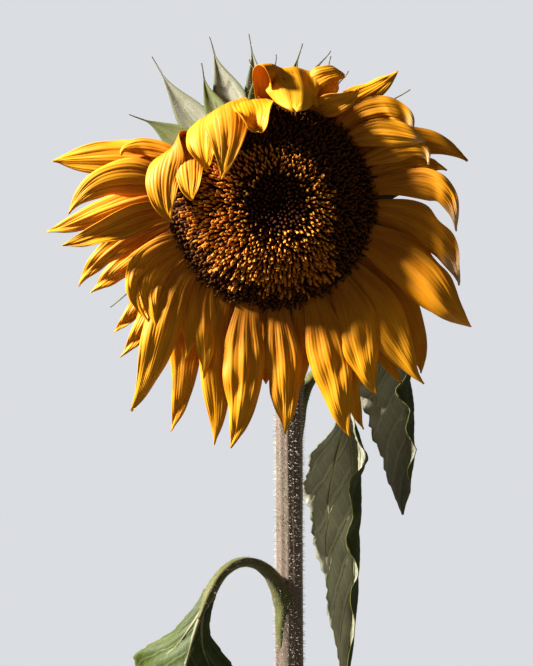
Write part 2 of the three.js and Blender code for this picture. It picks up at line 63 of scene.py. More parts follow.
def lerp(low: float, high: float, share: float | Array) -> float | Array:
    """Runs from low to high as share runs from 0 to 1."""
    return low + (high - low) * share


def smoothstep(value: float | Array, low: float, high: float) -> float | Array:
    """Rises from 0 at low to 1 at high with level ends."""
    x = np.clip((np.asarray(value, dtype=float) - low) / (high - low), 0, 1)
    return x * x * (3 - 2 * x)


def heading(angle: float) -> Array:
    """The direction in the XY plane at an angle from +X, in degrees."""
    return np.array([math.cos(math.radians(angle)), math.sin(math.radians(angle)), 0.0])


def unit(vectors: Array) -> Array:
    """Scales vectors in the last axis to length one."""
    return vectors / np.maximum(np.linalg.norm(vectors, axis=-1, keepdims=True), 1e-9)


class Seeded:
    """Repeatable random numbers from 0 to 1."""

    FULL = 0xFFFFFFFF
    STEP = 0x6D2B79F5

    def __init__(self, seed: int) -> None:
        """Starts the row of numbers.

        Args:
            seed: A whole number that picks the row.
        """
        self.state = seed & self.FULL

    def next(self) -> float:
        """Gives the next number."""
        self.state = (self.state + self.STEP) & self.FULL
        mixed = ((self.state ^ (self.state >> 15)) * (self.state | 1)) & self.FULL
        mixed ^= (mixed + (mixed ^ (mixed >> 7)) * (mixed | 61)) & self.FULL
        return (mixed ^ (mixed >> 14)) / (self.FULL + 1)

    def spread(self, amount: float) -> float:
        """Gives a number between minus amount and amount."""
        return lerp(-amount, amount, self.next())


@dataclass(frozen=True)
class Bezier:
    """A Bezier curve of three or four control points."""

    controls: Array

    def at(self, t: Array) -> Array:
        """Gives the points at each t."""
        points = [np.asarray(c, dtype=float) + 0 * t[:, None] for c in self.controls]
        while len(points) > 1:
            points = [a + (b - a) * t[:, None] for a, b in zip(points, points[1:])]
        return points[0]

    def tangent(self, t: Array) -> Array:
        """Gives the unit directions at each t."""
        steps = np.diff(np.asarray(self.controls, dtype=float), axis=0)
        return unit(Bezier(steps).at(t))


@dataclass
class Frames:
    """Places along a curve, each with its direction, its side and its upper face's normal."""

    t: Array
    points: Array
    tangents: Array
    sides: Array
    normals: Array

    @classmethod
    def along(cls, curve: Bezier, t: Array, side: Array) -> "Frames":
        """Carries a side direction along a curve without spin.

        Args:
            curve: The centre line.
            t: Where the places lie, from 0 to 1.
            side: The side direction at the start.

        Returns:
            The frames at each t.
        """
        tangents = curve.tangent(t)
        sides = np.empty_like(tangents)
        carried = np.array(side, dtype=float)
        for k, tangent in enumerate(tangents):
            carried = unit(carried - carried.dot(tangent) * tangent)
            sides[k] = carried
        return cls(t, curve.at(t), tangents, sides, np.cross(tangents, sides))

    def faced(self, headings: Array) -> "Frames":
        """Turns each frame so that its side runs as near as it can to a heading.

        Args:
            headings: The heading at each place, in degrees.

        Returns:
            The turned frames.
        """
        sides = np.stack([heading(a) for a in headings])
        sides = unit(sides - np.sum(sides * self.tangents, axis=1, keepdims=True) * self.tangents)
        return Frames(self.t, self.points, self.tangents, sides, np.cross(self.tangents, sides))

    def spun(self, degrees: Array) -> "Frames":
        """Turns each frame about its tangent.

        Args:
            degrees: The turn at each place.

        Returns:
            The turned frames.
        """
        c, s = np.cos(np.radians(degrees))[:, None], np.sin(np.radians(degrees))[:, None]
        return Frames(self.t, self.points, self.tangents,
                      self.sides * c + self.normals * s, self.normals * c - self.sides * s)

    def unfold(self, half_width: Array, s: Array, slope: Array) -> Array:
        """Lays a blade out from its midrib, column by column.

        Args:
            half_width: Half the blade's width at each t.
            s: The columns, from -1 through 0 to 1.
            slope: How far each column's strip bends back, in degrees, by t and s.

        Returns:
            The surface's points, by t and s.
        """
        middle = len(s) // 2
        grid = np.empty((len(self.t), len(s), 3))
        grid[:, middle] = self.points
        for way in (-1, 1):
            at = self.points
            for c in range(1, middle + 1):
                j = middle + way * c
                step = (half_width * (abs(s[j]) - abs(s[j - way])))[:, None]
                bend = np.radians(slope[:, j])[:, None]
                at = at + self.sides * way * step * np.cos(bend) - self.normals * step * np.sin(bend)
                grid[:, j] = at
        return grid


def grid_normals(grid: Array) -> Array:
    """Gives the unit normals of a surface whose points run by t and s."""
    return unit(np.cross(np.gradient(grid, axis=0), np.gradient(grid, axis=1)))


def ring_points(points: Array, sides: Array, normals: Array, angle: Array, radius: Array) -> Array:
    """Lays a ring of points round each place of a curve.

    Args:
        points: The places.
        sides: The side direction at each place.
        normals: The normal at each place.
        angle: Angles from the side direction, in radians.
        radius: The radius, by place and angle.

    Returns:
        The rings' points, by place and angle.
    """
    spokes = (np.cos(angle).reshape(1, -1, 1) * sides[:, None]
              + np.sin(angle).reshape(1, -1, 1) * normals[:, None])
    return points[:, None] + radius[..., None] * spokes


# ---- Meshes ----

@dataclass
class Draft:
    """Points, faces and surface values that become one mesh."""

    points: list[Array] = field(default_factory=list)
    faces: list[Array] = field(default_factory=list)
    slots: list[Array] = field(default_factory=list)
    uvs: list[Array] = field(default_factory=list)
    values: dict[str, list[Array]] = field(default_factory=dict)
    count: int = 0

    def add(self, points: Array, faces: Array, slot: int | Array = 0, uv: Array | None = None,
            **values: float | Array) -> None:
        """Adds one shape.

        Args:
            points: Its points.
            faces: Its faces, as rows of point numbers that face outwards.
            slot: The material slot of its faces.
            uv: Where each point lies on the surface.
            values: Named numbers at the points, one for all or one each.
        """
        n = len(points)
        self.points.append(points)
        self.faces.append(faces + self.count)
        self.slots.append(np.broadcast_to(np.asarray(slot), (len(faces),)))
        self.uvs.append(np.zeros((n, 2)) if uv is None else uv)
        for name, value in values.items():
            self.values.setdefault(name, [])
            self.values[name].append(np.broadcast_to(np.asarray(value, dtype=float), (n,)))
        self.count += n

    def sheet(self, grid: Array, thickness: float | Array, uv: Array, upper: int = 0, lower: int = 0,
              **values: float | Array) -> None:
        """Adds a closed thin sheet about a surface.

        Args:
            grid: The surface's points, by t and s.
            thickness: Its thickness, for all or by t and s.
            uv: Where each point lies, by t and s.
            upper: The material slot of its upper face.
            lower: The material slot of its lower face.
            values: Named numbers, for all or by t and s.
        """
        rows, columns = grid.shape[:2]
        half = grid_normals(grid) * (np.broadcast_to(thickness, (rows, columns)) / 2)[..., None]
        flat = rows * columns
        number = np.arange(flat).reshape(rows, columns)
        a, b, c, d = number[:-1, :-1], number[1:, :-1], number[1:, 1:], number[:-1, 1:]
        top = np.stack([a, b, c, d], axis=-1).reshape(-1, 4)
        bottom = np.stack([a, d, c, b], axis=-1).reshape(-1, 4) + flat
        rims = []
        for first, second in ((number[0, :-1], number[0, 1:]), (number[-1, 1:], number[-1, :-1]),
                              (number[1:, 0], number[:-1, 0]), (number[:-1, -1], number[1:, -1])):
            rims.append(np.stack([first, second, second + flat, first + flat], axis=-1))
        rim = np.concatenate(rims)
        slots = np.concatenate([np.full(len(part), slot)
                                for part, slot in ((top, upper), (bottom, lower), (rim, upper))])
        doubled = {name: np.tile(np.broadcast_to(value, (rows, columns)).ravel(), 2)
                   for name, value in values.items()}
        self.add(np.concatenate([(grid + half).reshape(-1, 3), (grid - half).reshape(-1, 3)]),
                 np.concatenate([top, bottom, rim]), slots, np.tile(uv.reshape(-1, 2), (2, 1)), **doubled)

    def tube(self, rings: Array, uv: Array | None = None, slot: int = 0, **values: float | Array) -> None:
        """Adds a closed tube through rings that run anticlockwise seen from the far end.

        Args:
            rings: The rings' points, by place and angle.
            uv: Where each point lies, by place and angle.
            slot: The material slot.
            values: Named numbers, for all or by place and angle.
        """
        rows, around = rings.shape[:2]
        number = np.arange(rows * around).reshape(rows, around)
        on = np.roll(number, -1, axis=1)
        sides = np.stack([number[:-1], on[:-1], on[1:], number[1:]], axis=-1).reshape(-1, 4)
        spots = {}
        for name, value in values.items():
            full = np.broadcast_to(value, (rows, around))
            spots[name] = np.concatenate([full.ravel(), [full[0].mean(), full[-1].mean()]])
        middles = np.stack([rings[0].mean(axis=0), rings[-1].mean(axis=0)])
        if uv is None:
            share = np.linspace(0, 1, around, endpoint=False)[None, :] + np.zeros((rows, 1))
            uv = np.stack([share, np.linspace(0, 1, rows)[:, None] + 0 * share], axis=-1)
        places = np.concatenate([uv.reshape(-1, 2), [uv[0].mean(axis=0), uv[-1].mean(axis=0)]])
        self.add(np.concatenate([rings.reshape(-1, 3), middles]), sides, slot, places, **spots)
        start, end = self.count - 2, self.count - 1
        base = self.count - rows * around - 2
        foot = np.stack([np.full(around, start), on[0] + base, number[0] + base], axis=-1)
        head = np.stack([np.full(around, end), number[-1] + base, on[-1] + base], axis=-1)
        self.faces += [foot, head]
        self.slots += [np.full(around, slot), np.full(around, slot)]

    def mesh(self, name: str, finishes: Sequence[bpy.types.Material], place: Matrix | None = None,
             scale: float = MM) -> bpy.types.Mesh:
        """Makes the mesh.

        Args:
            name: Its name.
            finishes: The materials of its slots.
            place: A matrix in millimetres that puts it in place.
            scale: What one unit of the draft becomes.

        Returns:
            The mesh, smooth, with the UV map "Surface" and the named values.
        """
        points = np.concatenate(self.points)
        loops = np.concatenate([f.ravel() for f in self.faces])
        sizes = np.concatenate([np.full(len(f), f.shape[1]) for f in self.faces])
        mesh = bpy.data.meshes.new(name)
        mesh.vertices.add(len(points))
        mesh.vertices.foreach_set("co", points.astype(np.float32).ravel())
        mesh.loops.add(len(loops))
        mesh.loops.foreach_set("vertex_index", loops.astype(np.int32))
        mesh.polygons.add(len(sizes))
        mesh.polygons.foreach_set("loop_start", np.concatenate([[0], np.cumsum(sizes)[:-1]]).astype(np.int32))
        mesh.polygons.foreach_set("use_smooth", np.ones(len(sizes), dtype=bool))
        for finish in finishes:
            mesh.materials.append(finish)
        mesh.polygons.foreach_set("material_index", np.concatenate(self.slots).astype(np.int32))
        mesh.update(calc_edges=True)
        layer = mesh.uv_layers.new(name="Surface")
        layer.data.foreach_set("uv", np.concatenate(self.uvs)[loops].astype(np.float32).ravel())
        for key, parts in self.values.items():
            attribute = mesh.attributes.new(key, "FLOAT", "POINT")
            attribute.data.foreach_set("value", np.concatenate(parts).astype(np.float32))
        mesh.transform(Matrix.Scale(scale, 4) @ (place or Matrix.Identity(4)))
        mesh.validate()
        return mesh


def show(mesh: bpy.types.Mesh) -> bpy.types.Object:
    """Puts a finished mesh in the scene as an object at the origin, with the mesh's name."""
    piece = bpy.data.objects.new(mesh.name, mesh)
    bpy.context.scene.collection.objects.link(piece)
    return piece


def settle(piece: bpy.types.Object, nodes: Sequence[str] = ()) -> bpy.types.Object:
    """Fixes a piece to the plant and reports it.

    Args:
        piece: The finished piece.
        nodes: The CAD nodes that it stands for.

    Returns:
        The same piece.
    """
    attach(piece, "root")
    if nodes:
        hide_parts(*nodes)
    log.info("%-26s %7d faces", piece.name, len(piece.data.polygons))
    return piece


# ---- Node trees ----

Socket = bpy.types.NodeSocket
# Where a colour mix node keeps its share, its two colours and its result.
MIX_SHARE, MIX_FIRST, MIX_SECOND, MIX_RESULT = 0, 6, 7, 2


class Bench:
    """Lays nodes into one tree."""

    def __init__(self, tree: bpy.types.NodeTree) -> None:
        """Takes the tree that the nodes go into."""
        self.tree = tree

    def add(self, kind: str, settings: dict[str, object] | None = None,
            **inputs: object) -> bpy.types.Node:
        """Adds a node.

        Args:
            kind: The node's type name.
            settings: Its properties.
            inputs: Its inputs by name with spaces as underscores: a value or a socket to link.

        Returns:
            The node.
        """
        node = self.tree.nodes.new(kind)
        for name, value in (settings or {}).items():
            setattr(node, name, value)
        for name, value in inputs.items():
            self.feed(node, name.replace("_", " "), value)
        return node

    def feed(self, node: bpy.types.Node, name: str | int, value: object) -> None:
        """Gives a node's input a value or a link.

        Args:
            node: The node.
            name: The input's name or number.
            value: A socket to link, or a plain value.
        """
        sockets = [s for s in node.inputs if s.enabled and s.name == name] if isinstance(name, str) else []
        socket = sockets[0] if sockets else node.inputs[name]
        if isinstance(value, bpy.types.NodeSocket):
            self.tree.links.new(value, socket)
        elif socket.type == "RGBA":
            socket.default_value = (*value, 1.0)[:4]
        else:
            socket.default_value = value

    def maths(self, operation: str, *values: object) -> Socket:
        """Adds a maths node and gives its output."""
        node = self.tree.nodes.new("ShaderNodeMath")
        node.operation = operation
        for k, value in enumerate(values):
            self.feed(node, k, value)
        return node.outputs[0]

    def vector(self, operation: str, *values: object) -> Socket:
        """Adds a vector maths node and gives its vector output."""
        node = self.tree.nodes.new("ShaderNodeVectorMath")
        node.operation = operation
        for k, value in enumerate(values):
            if operation == "SCALE" and k == 1:
                self.feed(node, "Scale", value)
            else:
                self.feed(node, k, value)
        return node.outputs[0]

    def split(self, vector: Socket) -> list[Socket]:
        """Gives a vector's x, y and z."""
        return list(self.add("ShaderNodeSeparateXYZ", None, Vector=vector).outputs)

    def joined(self, x: object, y: object, z: object) -> Socket:
        """Gives a vector of x, y and z."""
        return self.add("ShaderNodeCombineXYZ", None, X=x, Y=y, Z=z).outputs[0]

    def ranged(self, value: Socket, low: object, high: object, start: object = 0.0,
               end: object = 1.0) -> Socket:
        """Maps a value from low-high to start-end with level ends."""
        node = self.add("ShaderNodeMapRange", {"interpolation_type": "SMOOTHSTEP"}, Value=value,
                        From_Min=low, From_Max=high, To_Min=start, To_Max=end)
        return node.outputs["Result"]

    def weighted(self, first: Socket, weight: float, second: Socket, other: float) -> Socket:
        """Adds two values, each times its weight."""
        return self.maths("ADD", self.maths("MULTIPLY", first, weight), self.maths("MULTIPLY", second, other))

    def compare(self, operation: str, first: Socket, second: object) -> Socket:
        """Compares two numbers and gives true or false."""
        node = self.add("FunctionNodeCompare", {"data_type": "FLOAT", "operation": operation})
        self.feed(node, 0, first)
        self.feed(node, 1, second)
        return node.outputs[0]

    def mix(self, share: object, first: object, second: object) -> Socket:
        """Mixes two colours."""
        node = self.tree.nodes.new("ShaderNodeMix")
        node.data_type = "RGBA"
        self.feed(node, MIX_SHARE, share)
        self.feed(node, MIX_FIRST, first)
        self.feed(node, MIX_SECOND, second)
        return node.outputs[MIX_RESULT]

    def noise(self, vector: Socket, scale: object, detail: float = 3.0, roughness: float = 0.55) -> Socket:
        """Gives noise from 0 to 1."""
        node = self.add("ShaderNodeTexNoise", None, Vector=vector, Scale=scale, Detail=detail,
                        Roughness=roughness)
        return node.outputs[0]

    def ramp(self, value: Socket, stops: Sequence[tuple[float, Colour]]) -> Socket:
        """Gives a colour from stops along a value.

        Args:
            value: From 0 to 1.
            stops: Places and their colours, in order.

        Returns:
            The colour.
        """
        node = self.add("ShaderNodeValToRGB", None, Fac=value)
        elements = node.color_ramp.elements
        while len(elements) < len(stops):
            elements.new(1.0)
        for element, (place, colour) in zip(elements, stops):
            element.position = place
            element.color = (*colour, 1.0)
        return node.outputs[0]


def live(node: bpy.types.Node) -> Socket:
    """Gives the output that a node of many types has in use."""
    return next(s for s in node.outputs if s.enabled)


def new_group(name: str, kind: str, inputs: Sequence[tuple[str, str, object]],
              outputs: Sequence[tuple[str, str]]) -> tuple[Bench, dict[str, Socket], bpy.types.Node]:
    """Starts a node group with named sockets.

    Args:
        name: The group's name.
        kind: ShaderNodeTree or GeometryNodeTree.
        inputs: Each input's name, socket type and default.
        outputs: Each output's name and socket type.

    Returns:
        A bench on the group, its inputs by name, and its output node.
    """
    tree = bpy.data.node_groups.new(name, kind)
    for label, socket, value in inputs:
        item = tree.interface.new_socket(name=label, in_out="INPUT", socket_type=socket)
        if value is not None:
            item.default_value = value
    for label, socket in outputs:
        tree.interface.new_socket(name=label, in_out="OUTPUT", socket_type=socket)
    bench = Bench(tree)
    start = bench.add("NodeGroupInput")
    end = bench.add("NodeGroupOutput")
    return bench, {s.name: s for s in start.outputs if s.name}, end


class Effect(Enum):
    """Shared shader groups."""

    MOTTLE = "Mottle"
    STREAKS = "Streaks"
    DOWN = "Down"

    def tree(self) -> bpy.types.NodeTree:
        """Gives the group's tree, made at its first use."""
        found = bpy.data.node_groups.get(self.value)
        return found or {Effect.MOTTLE: mottle, Effect.STREAKS: streaks, Effect.DOWN: down}[self]()

    def lay(self, bench: Bench, **inputs: object) -> bpy.types.Node:
        """Places the group in a material.

        Args:
            bench: The material's bench.
            inputs: The group's inputs by name.

        Returns:
            The group's node.
        """
        node = bench.tree.nodes.new("ShaderNodeGroup")
        node.node_tree = self.tree()
        for name, value in inputs.items():
            bench.feed(node, name.replace("_", " "), value)
        return node


def mottle() -> bpy.types.NodeTree:
    """Builds Mottle: a colour that drifts to a second one in soft patches and fine flecks."""
    bench, given, end = new_group("Mottle", "ShaderNodeTree", (
        ("Vector", "NodeSocketVector", None), ("Ground", "NodeSocketColor", None),
        ("Patch", "NodeSocketColor", None), ("Fleck", "NodeSocketColor", None),
        ("Patch Scale", "NodeSocketFloat", 60.0), ("Patch Amount", "NodeSocketFloat", 0.5),
        ("Fleck Scale", "NodeSocketFloat", 900.0), ("Fleck Amount", "NodeSocketFloat", 0.3)),
        (("Color", "NodeSocketColor"), ("Fleck Mask", "NodeSocketFloat")))
    wide = bench.noise(given["Vector"], given["Patch Scale"], 4)
    fine = bench.noise(given["Vector"], given["Fleck Scale"], 2)
    patch = bench.maths("MULTIPLY", bench.ranged(wide, 0.38, 0.66), given["Patch Amount"])
    fleck = bench.ranged(fine, 0.5, 0.72)
    colour = bench.mix(patch, given["Ground"], given["Patch"])
    colour = bench.mix(bench.maths("MULTIPLY", fleck, given["Fleck Amount"]), colour, given["Fleck"])
    bench.feed(end, "Color", colour)
    bench.feed(end, "Fleck Mask", fleck)
    return bench.tree


def streaks() -> bpy.types.NodeTree:
    """Builds Streaks: fine lines along a surface, from how far across and along it a point lies."""
    bench, given, end = new_group("Streaks", "ShaderNodeTree", (
        ("Across", "NodeSocketFloat", 0.0), ("Along", "NodeSocketFloat", 0.0),
        ("Lines", "NodeSocketFloat", 14.0), ("Length", "NodeSocketFloat", 1.5),
        ("Offset", "NodeSocketFloat", 0.0)),
        (("Lines", "NodeSocketFloat"), ("Height", "NodeSocketFloat")))
    place = bench.joined(bench.maths("MULTIPLY", given["Across"], given["Lines"]),
                         bench.maths("MULTIPLY", given["Along"], given["Length"]),
                         bench.maths("MULTIPLY", given["Offset"], 37.0))
    wide = bench.noise(place, 1.0, 3, 0.6)
    fine = bench.noise(bench.vector("MULTIPLY", place, (2.6, 1.7, 1.0)), 1.0, 2)
    lines = bench.weighted(wide, 0.65, fine, 0.35)
    bench.feed(end, "Lines", bench.ranged(lines, 0.34, 0.66))
    bench.feed(end, "Height", lines)
    return bench.tree


def down() -> bpy.types.NodeTree:
    """Builds Down: the fine uneven pile of a plant's skin, as a height."""
    bench, given, end = new_group("Down", "ShaderNodeTree", (
        ("Vector", "NodeSocketVector", None), ("Scale", "NodeSocketFloat", 1400.0),
        ("Coarse", "NodeSocketFloat", 0.3)), (("Height", "NodeSocketFloat"),))
    fine = bench.noise(given["Vector"], given["Scale"], 3, 0.6)
    coarse = bench.noise(given["Vector"], bench.maths("MULTIPLY", given["Scale"], given["Coarse"]), 2)
    bench.feed(end, "Height", bench.weighted(fine, 0.5, coarse, 0.5))
    return bench.tree


# ---- Finishes ----

@dataclass(frozen=True)
class Finish:
    """A surface finish: what every material of the plant shares."""

    name: str
    roughness: tuple[float, float] = (0.6, 0.8)
    bump: float = 0.3
    relief: float = 0.0004
    sheen: float = 0.0
    specular: float = 0.35

    def start(self) -> tuple[Bench, bpy.types.Node, Socket, list[Socket]]:
        """Starts a material.

        Returns:
            A bench, the shader node, Object coordinates, and the surface's u, v and nothing.
        """
        material = bpy.data.materials.new(self.name)
        material.use_nodes = True
        material.node_tree.nodes.clear()
        bench = Bench(material.node_tree)
        shader = bench.add("ShaderNodeBsdfPrincipled")
        shader.inputs["Specular IOR Level"].default_value = self.specular
        shader.inputs["Sheen Weight"].default_value = self.sheen
        shader.inputs["Sheen Roughness"].default_value = SHEEN_ROUGHNESS
        bench.add("ShaderNodeOutputMaterial", None, Surface=shader.outputs[0])
        places = bench.add("ShaderNodeTexCoord")
        surface = bench.add("ShaderNodeUVMap", {"uv_map": "Surface"})
        return bench, shader, places.outputs["Object"], bench.split(surface.outputs[0])

    def finish(self, bench: Bench, shader: bpy.types.Node, colour: Socket, height: Socket,
               wear: Socket) -> bpy.types.Material:
        """Joins colour, roughness and bump to the shader.

        Args:
            bench: The material's bench.
            shader: Its shader node.
            colour: The base colour.
            height: The bump's height, from 0 to 1.
            wear: What the roughness follows, from 0 to 1.

        Returns:
            The material.
        """
        bench.feed(shader, "Base Color", colour)
        bench.feed(shader, "Roughness", bench.ranged(wear, 0.2, 0.8, *self.roughness))
        bump = bench.add("ShaderNodeBump", None, Strength=self.bump, Distance=self.relief, Height=height)
        bench.feed(shader, "Normal", bump.outputs[0])
        return next(m for m in bpy.data.materials if m.node_tree == bench.tree)

    @staticmethod
    def value(bench: Bench, name: str) -> Socket:
        """Reads a named number of the mesh."""
        return bench.add("ShaderNodeAttribute", {"attribute_name": name}).outputs["Fac"]


@dataclass(frozen=True)
class PetalFinish(Finish):
    """Satin petal skin: deep orange at the root, partly painted shade near the disc, golden along the blade, with
    darker lengthwise veins and painted shade in the grooves between the ribs.

    Where the mesh's value "dry" is high, the tip is pale and withered.
    """

    # The dark red root is partly the florets' own deeper base and partly painted shade where the disc shades them.
    root: Colour = (0.27, 0.055, 0.001)
    body: Colour = (0.79, 0.295, 0.003)
    tip: Colour = (0.86, 0.385, 0.006)
    # vein also darkens the grooves between the ribs, as painted shade.
    vein: Colour = (0.51, 0.145, 0.001)
    light: Colour = (0.88, 0.45, 0.011)
    dry: Colour = (0.74, 0.56, 0.33)

    def make(self) -> bpy.types.Material:
        """Makes the material."""
        bench, shader, _, (across, along, _) = self.start()
        tint = self.value(bench, "tint")
        lines = Effect.STREAKS.lay(bench, Across=across, Along=along, Lines=26.0, Length=2.2, Offset=tint)
        broad = Effect.STREAKS.lay(bench, Across=across, Along=along, Lines=7.0, Length=3.0, Offset=tint)
        # Along the floret: the root colour, partly painted shade, runs out into the golden body and tip.
        colour = bench.ramp(along, ((0.0, self.root), (0.25, lighter(self.root, self.body, 0.35)),
                                    (0.5, self.body), (1.0, self.tip)))
        colour = bench.mix(bench.maths("MULTIPLY", lines.outputs["Lines"], 0.4), colour, self.vein)
        colour = bench.mix(bench.maths("MULTIPLY", broad.outputs["Lines"], 0.35), colour, self.light)
        colour = bench.mix(bench.ranged(tint, 0.55, 1.0, 0.0, 0.3), colour, self.vein)
        # Painted shade: the grooves between the ribs, where the mesh's value rib is low, take the darker vein colour.
        colour = bench.mix(bench.ranged(self.value(bench, "rib"), 0.55, 0.1, 0.0, 0.6), colour, self.vein)
        tip_end = bench.ranged(along, 0.72, 0.92, 0.0, 0.8)
        colour = bench.mix(bench.maths("MULTIPLY", self.value(bench, "dry"), tip_end), colour, self.dry)
        height = bench.weighted(lines.outputs["Height"], 0.7, broad.outputs["Height"], 0.3)
        return self.finish(bench, shader, colour, height, broad.outputs["Lines"])


@dataclass(frozen=True)
class FloretFinish(Finish):
    """Skin of the small disc florets, darker at the foot than at the mouth."""

    foot: Colour = (0.016, 0.005, 0.002)
    mouth: Colour = (0.10, 0.030, 0.006)
    spot: Colour = (0.22, 0.07, 0.01)

    def make(self) -> bpy.types.Material:
        """Makes the material."""
        bench, shader, places, _ = self.start()
        rise, tint = self.value(bench, "rise"), self.value(bench, "tint")
        colour = bench.ramp(rise, ((0.0, self.foot), (0.45, lighter(self.foot, self.mouth, 0.4)),
                                   (1.0, self.mouth)))
        colour = bench.mix(bench.ranged(tint, 0.2, 1.0, 0.0, 0.55), colour, self.spot)
        pile = Effect.DOWN.lay(bench, Vector=places, Scale=2600.0, Coarse=0.4)
        return self.finish(bench, shader, colour, pile.outputs[0], pile.outputs[0])


@dataclass(frozen=True)
class LeafFinish(Finish):
    """Leaf skin: a ground colour with paler or darker veins that run from the midrib to the margin."""

    ground: Colour = (0.036, 0.060, 0.008)
    patch: Colour = (0.060, 0.088, 0.012)
    vein: Colour = (0.125, 0.145, 0.038)
    margin: Colour = (0.13, 0.135, 0.035)
    vein_share: float = 0.6

    def make(self) -> bpy.types.Material:
        """Makes the material."""
        bench, shader, places, (across, along, _) = self.start()
        out = bench.maths("ABSOLUTE", bench.maths("MULTIPLY_ADD", across, 2.0, -1.0))
        wobble = bench.noise(places, 90.0, 2)
        back = bench.maths("MULTIPLY", out, VEIN_SLANT)
        row = bench.maths("MULTIPLY", bench.maths("SUBTRACT", along, back), VEIN_ROWS)
        row = bench.maths("ADD", row, bench.maths("MULTIPLY", wobble, 0.35))
        near = bench.maths("ABSOLUTE", bench.maths("SUBTRACT", bench.maths("FRACT", row), 0.5))
        side_vein = bench.ranged(near, 0.10, 0.02)
        fine_row = bench.maths("MULTIPLY_ADD", out, 7.0, bench.maths("MULTIPLY", row, 1.3))
        fine_near = bench.maths("ABSOLUTE", bench.maths("SUBTRACT", bench.maths("FRACT", fine_row), 0.5))
        fine = bench.ranged(fine_near, 0.16, 0.04, 0.0, 0.35)
        midrib = bench.ranged(out, 0.075, 0.02)
        veins = bench.maths("MAXIMUM", bench.maths("MAXIMUM", side_vein, midrib), fine)
        skin = Effect.MOTTLE.lay(bench, Vector=places, Ground=self.ground, Patch=self.patch, Fleck=self.vein,
                                 Patch_Scale=35.0, Patch_Amount=0.8, Fleck_Scale=700.0, Fleck_Amount=0.18)
        colour = bench.mix(bench.maths("MULTIPLY", veins, self.vein_share), skin.outputs[0], self.vein)
        colour = bench.mix(bench.ranged(out, 0.93, 1.0, 0.0, 0.7), colour, self.margin)
        pile = Effect.DOWN.lay(bench, Vector=places, Scale=1500.0, Coarse=0.25)
        height = bench.weighted(veins, 0.6, pile.outputs[0], 0.4)
        return self.finish(bench, shader, colour, height, pile.outputs[0])


@dataclass(frozen=True)
class BractFinish(Finish):
    """Downy bract skin with fine lengthwise veins, greener margins and a withered tip."""

    ground: Colour = (0.165, 0.165, 0.115)
    margin: Colour = (0.075, 0.095, 0.032)
    tip: Colour = (0.17, 0.075, 0.055)
    pale: Colour = (0.37, 0.35, 0.28)

    def make(self) -> bpy.types.Material:
        """Makes the material."""
        bench, shader, places, (across, along, _) = self.start()
        tint = self.value(bench, "tint")
        lines = Effect.STREAKS.lay(bench, Across=across, Along=along, Lines=16.0, Length=2.0, Offset=tint)
        skin = Effect.MOTTLE.lay(bench, Vector=places, Ground=self.ground, Patch=self.margin, Fleck=self.pale,
                                 Patch_Scale=120.0, Patch_Amount=0.5, Fleck_Scale=1500.0, Fleck_Amount=0.5)
        colour = bench.mix(bench.maths("MULTIPLY", lines.outputs["Lines"], 0.35), skin.outputs[0], self.pale)
        out = bench.maths("ABSOLUTE", bench.maths("MULTIPLY_ADD", across, 2.0, -1.0))
        colour = bench.mix(bench.ranged(out, 0.6, 0.95, 0.0, 0.7), colour, self.margin)
        colour = bench.mix(bench.ranged(along, 0.9, 1.0, 0.0, 0.7), colour, self.tip)
        pile = Effect.DOWN.lay(bench, Vector=places, Scale=1900.0, Coarse=0.3)
        height = bench.maths("ADD", bench.maths("MULTIPLY", lines.outputs["Height"], 0.5), pile.outputs[0])
        return self.finish(bench, shader, colour, height, pile.outputs[0])


@dataclass(frozen=True)
class StemFinish(Finish):
    """Ribbed stem skin with lengthwise streaks and pale flecks where bristles stand."""

    ground: Colour = (0.15, 0.125, 0.085)
    streak: Colour = (0.225, 0.155, 0.128)
    fleck: Colour = (0.40, 0.335, 0.295)
    lines: float = 420.0

    def make(self) -> bpy.types.Material:
        """Makes the material."""
        bench, shader, places, _ = self.start()
        drawn = bench.vector("MULTIPLY", places, (1.0, 1.0, 0.07))
        run = bench.noise(drawn, self.lines, 3, 0.6)
        skin = Effect.MOTTLE.lay(bench, Vector=places, Ground=self.ground, Patch=self.streak,
                                 Fleck=self.fleck, Patch_Scale=28.0, Patch_Amount=0.55,
                                 Fleck_Scale=950.0, Fleck_Amount=0.55)
        colour = bench.mix(bench.ranged(run, 0.45, 0.65, 0.0, 0.6), skin.outputs[0], self.streak)
        pile = Effect.DOWN.lay(bench, Vector=places, Scale=1500.0, Coarse=0.3)
        height = bench.weighted(run, 0.6, pile.outputs[0], 0.4)
        return self.finish(bench, shader, colour, height, pile.outputs[0])


@dataclass(frozen=True)
class BristleFinish(Finish):
    """Glassy pale hairs."""

    pale: Colour = (0.76, 0.73, 0.67)
    warm: Colour = (0.55, 0.50, 0.40)

    def make(self) -> bpy.types.Material:
        """Makes the material."""
        bench, shader, places, _ = self.start()
        drift = bench.noise(places, 300.0, 2)
        colour = bench.mix(bench.ranged(drift, 0.35, 0.65), self.pale, self.warm)
        return self.finish(bench, shader, colour, drift, drift)


def lighter(first: Colour, second: Colour, share: float) -> Colour:
    """Gives the colour a share of the way from the first to the second."""
    return tuple(lerp(a, b, share) for a, b in zip(first, second))


# ---- Geometry Nodes tools ----

def grow(tree: bpy.types.NodeTree, carrier: bpy.types.Mesh, name: str,
         inputs: dict[str, object]) -> bpy.types.Mesh:
    """Runs a Geometry Nodes tree once on a mesh.

    Args:
        tree: The tree.
        carrier: The mesh that it starts from.
        name: The new mesh's name.
        inputs: Values of its named inputs.

    Returns:
        The plain mesh that it grows.
    """
    helper = bpy.data.objects.new(name + "_helper", carrier)
    bpy.context.scene.collection.objects.link(helper)
    modifier = helper.modifiers.new("Grow", "NODES")
    modifier.node_group = tree
    for item in tree.interface.items_tree:
        if item.in_out == "INPUT" and item.name in inputs:
            modifier[item.identifier] = inputs[item.name]
    depsgraph = bpy.context.evaluated_depsgraph_get()
    mesh = bpy.data.meshes.new_from_object(helper.evaluated_get(depsgraph), preserve_all_data_layers=True,
                                           depsgraph=depsgraph)
    mesh.name = name
    helper.modifiers.clear()
    bpy.data.objects.remove(helper)
    return mesh


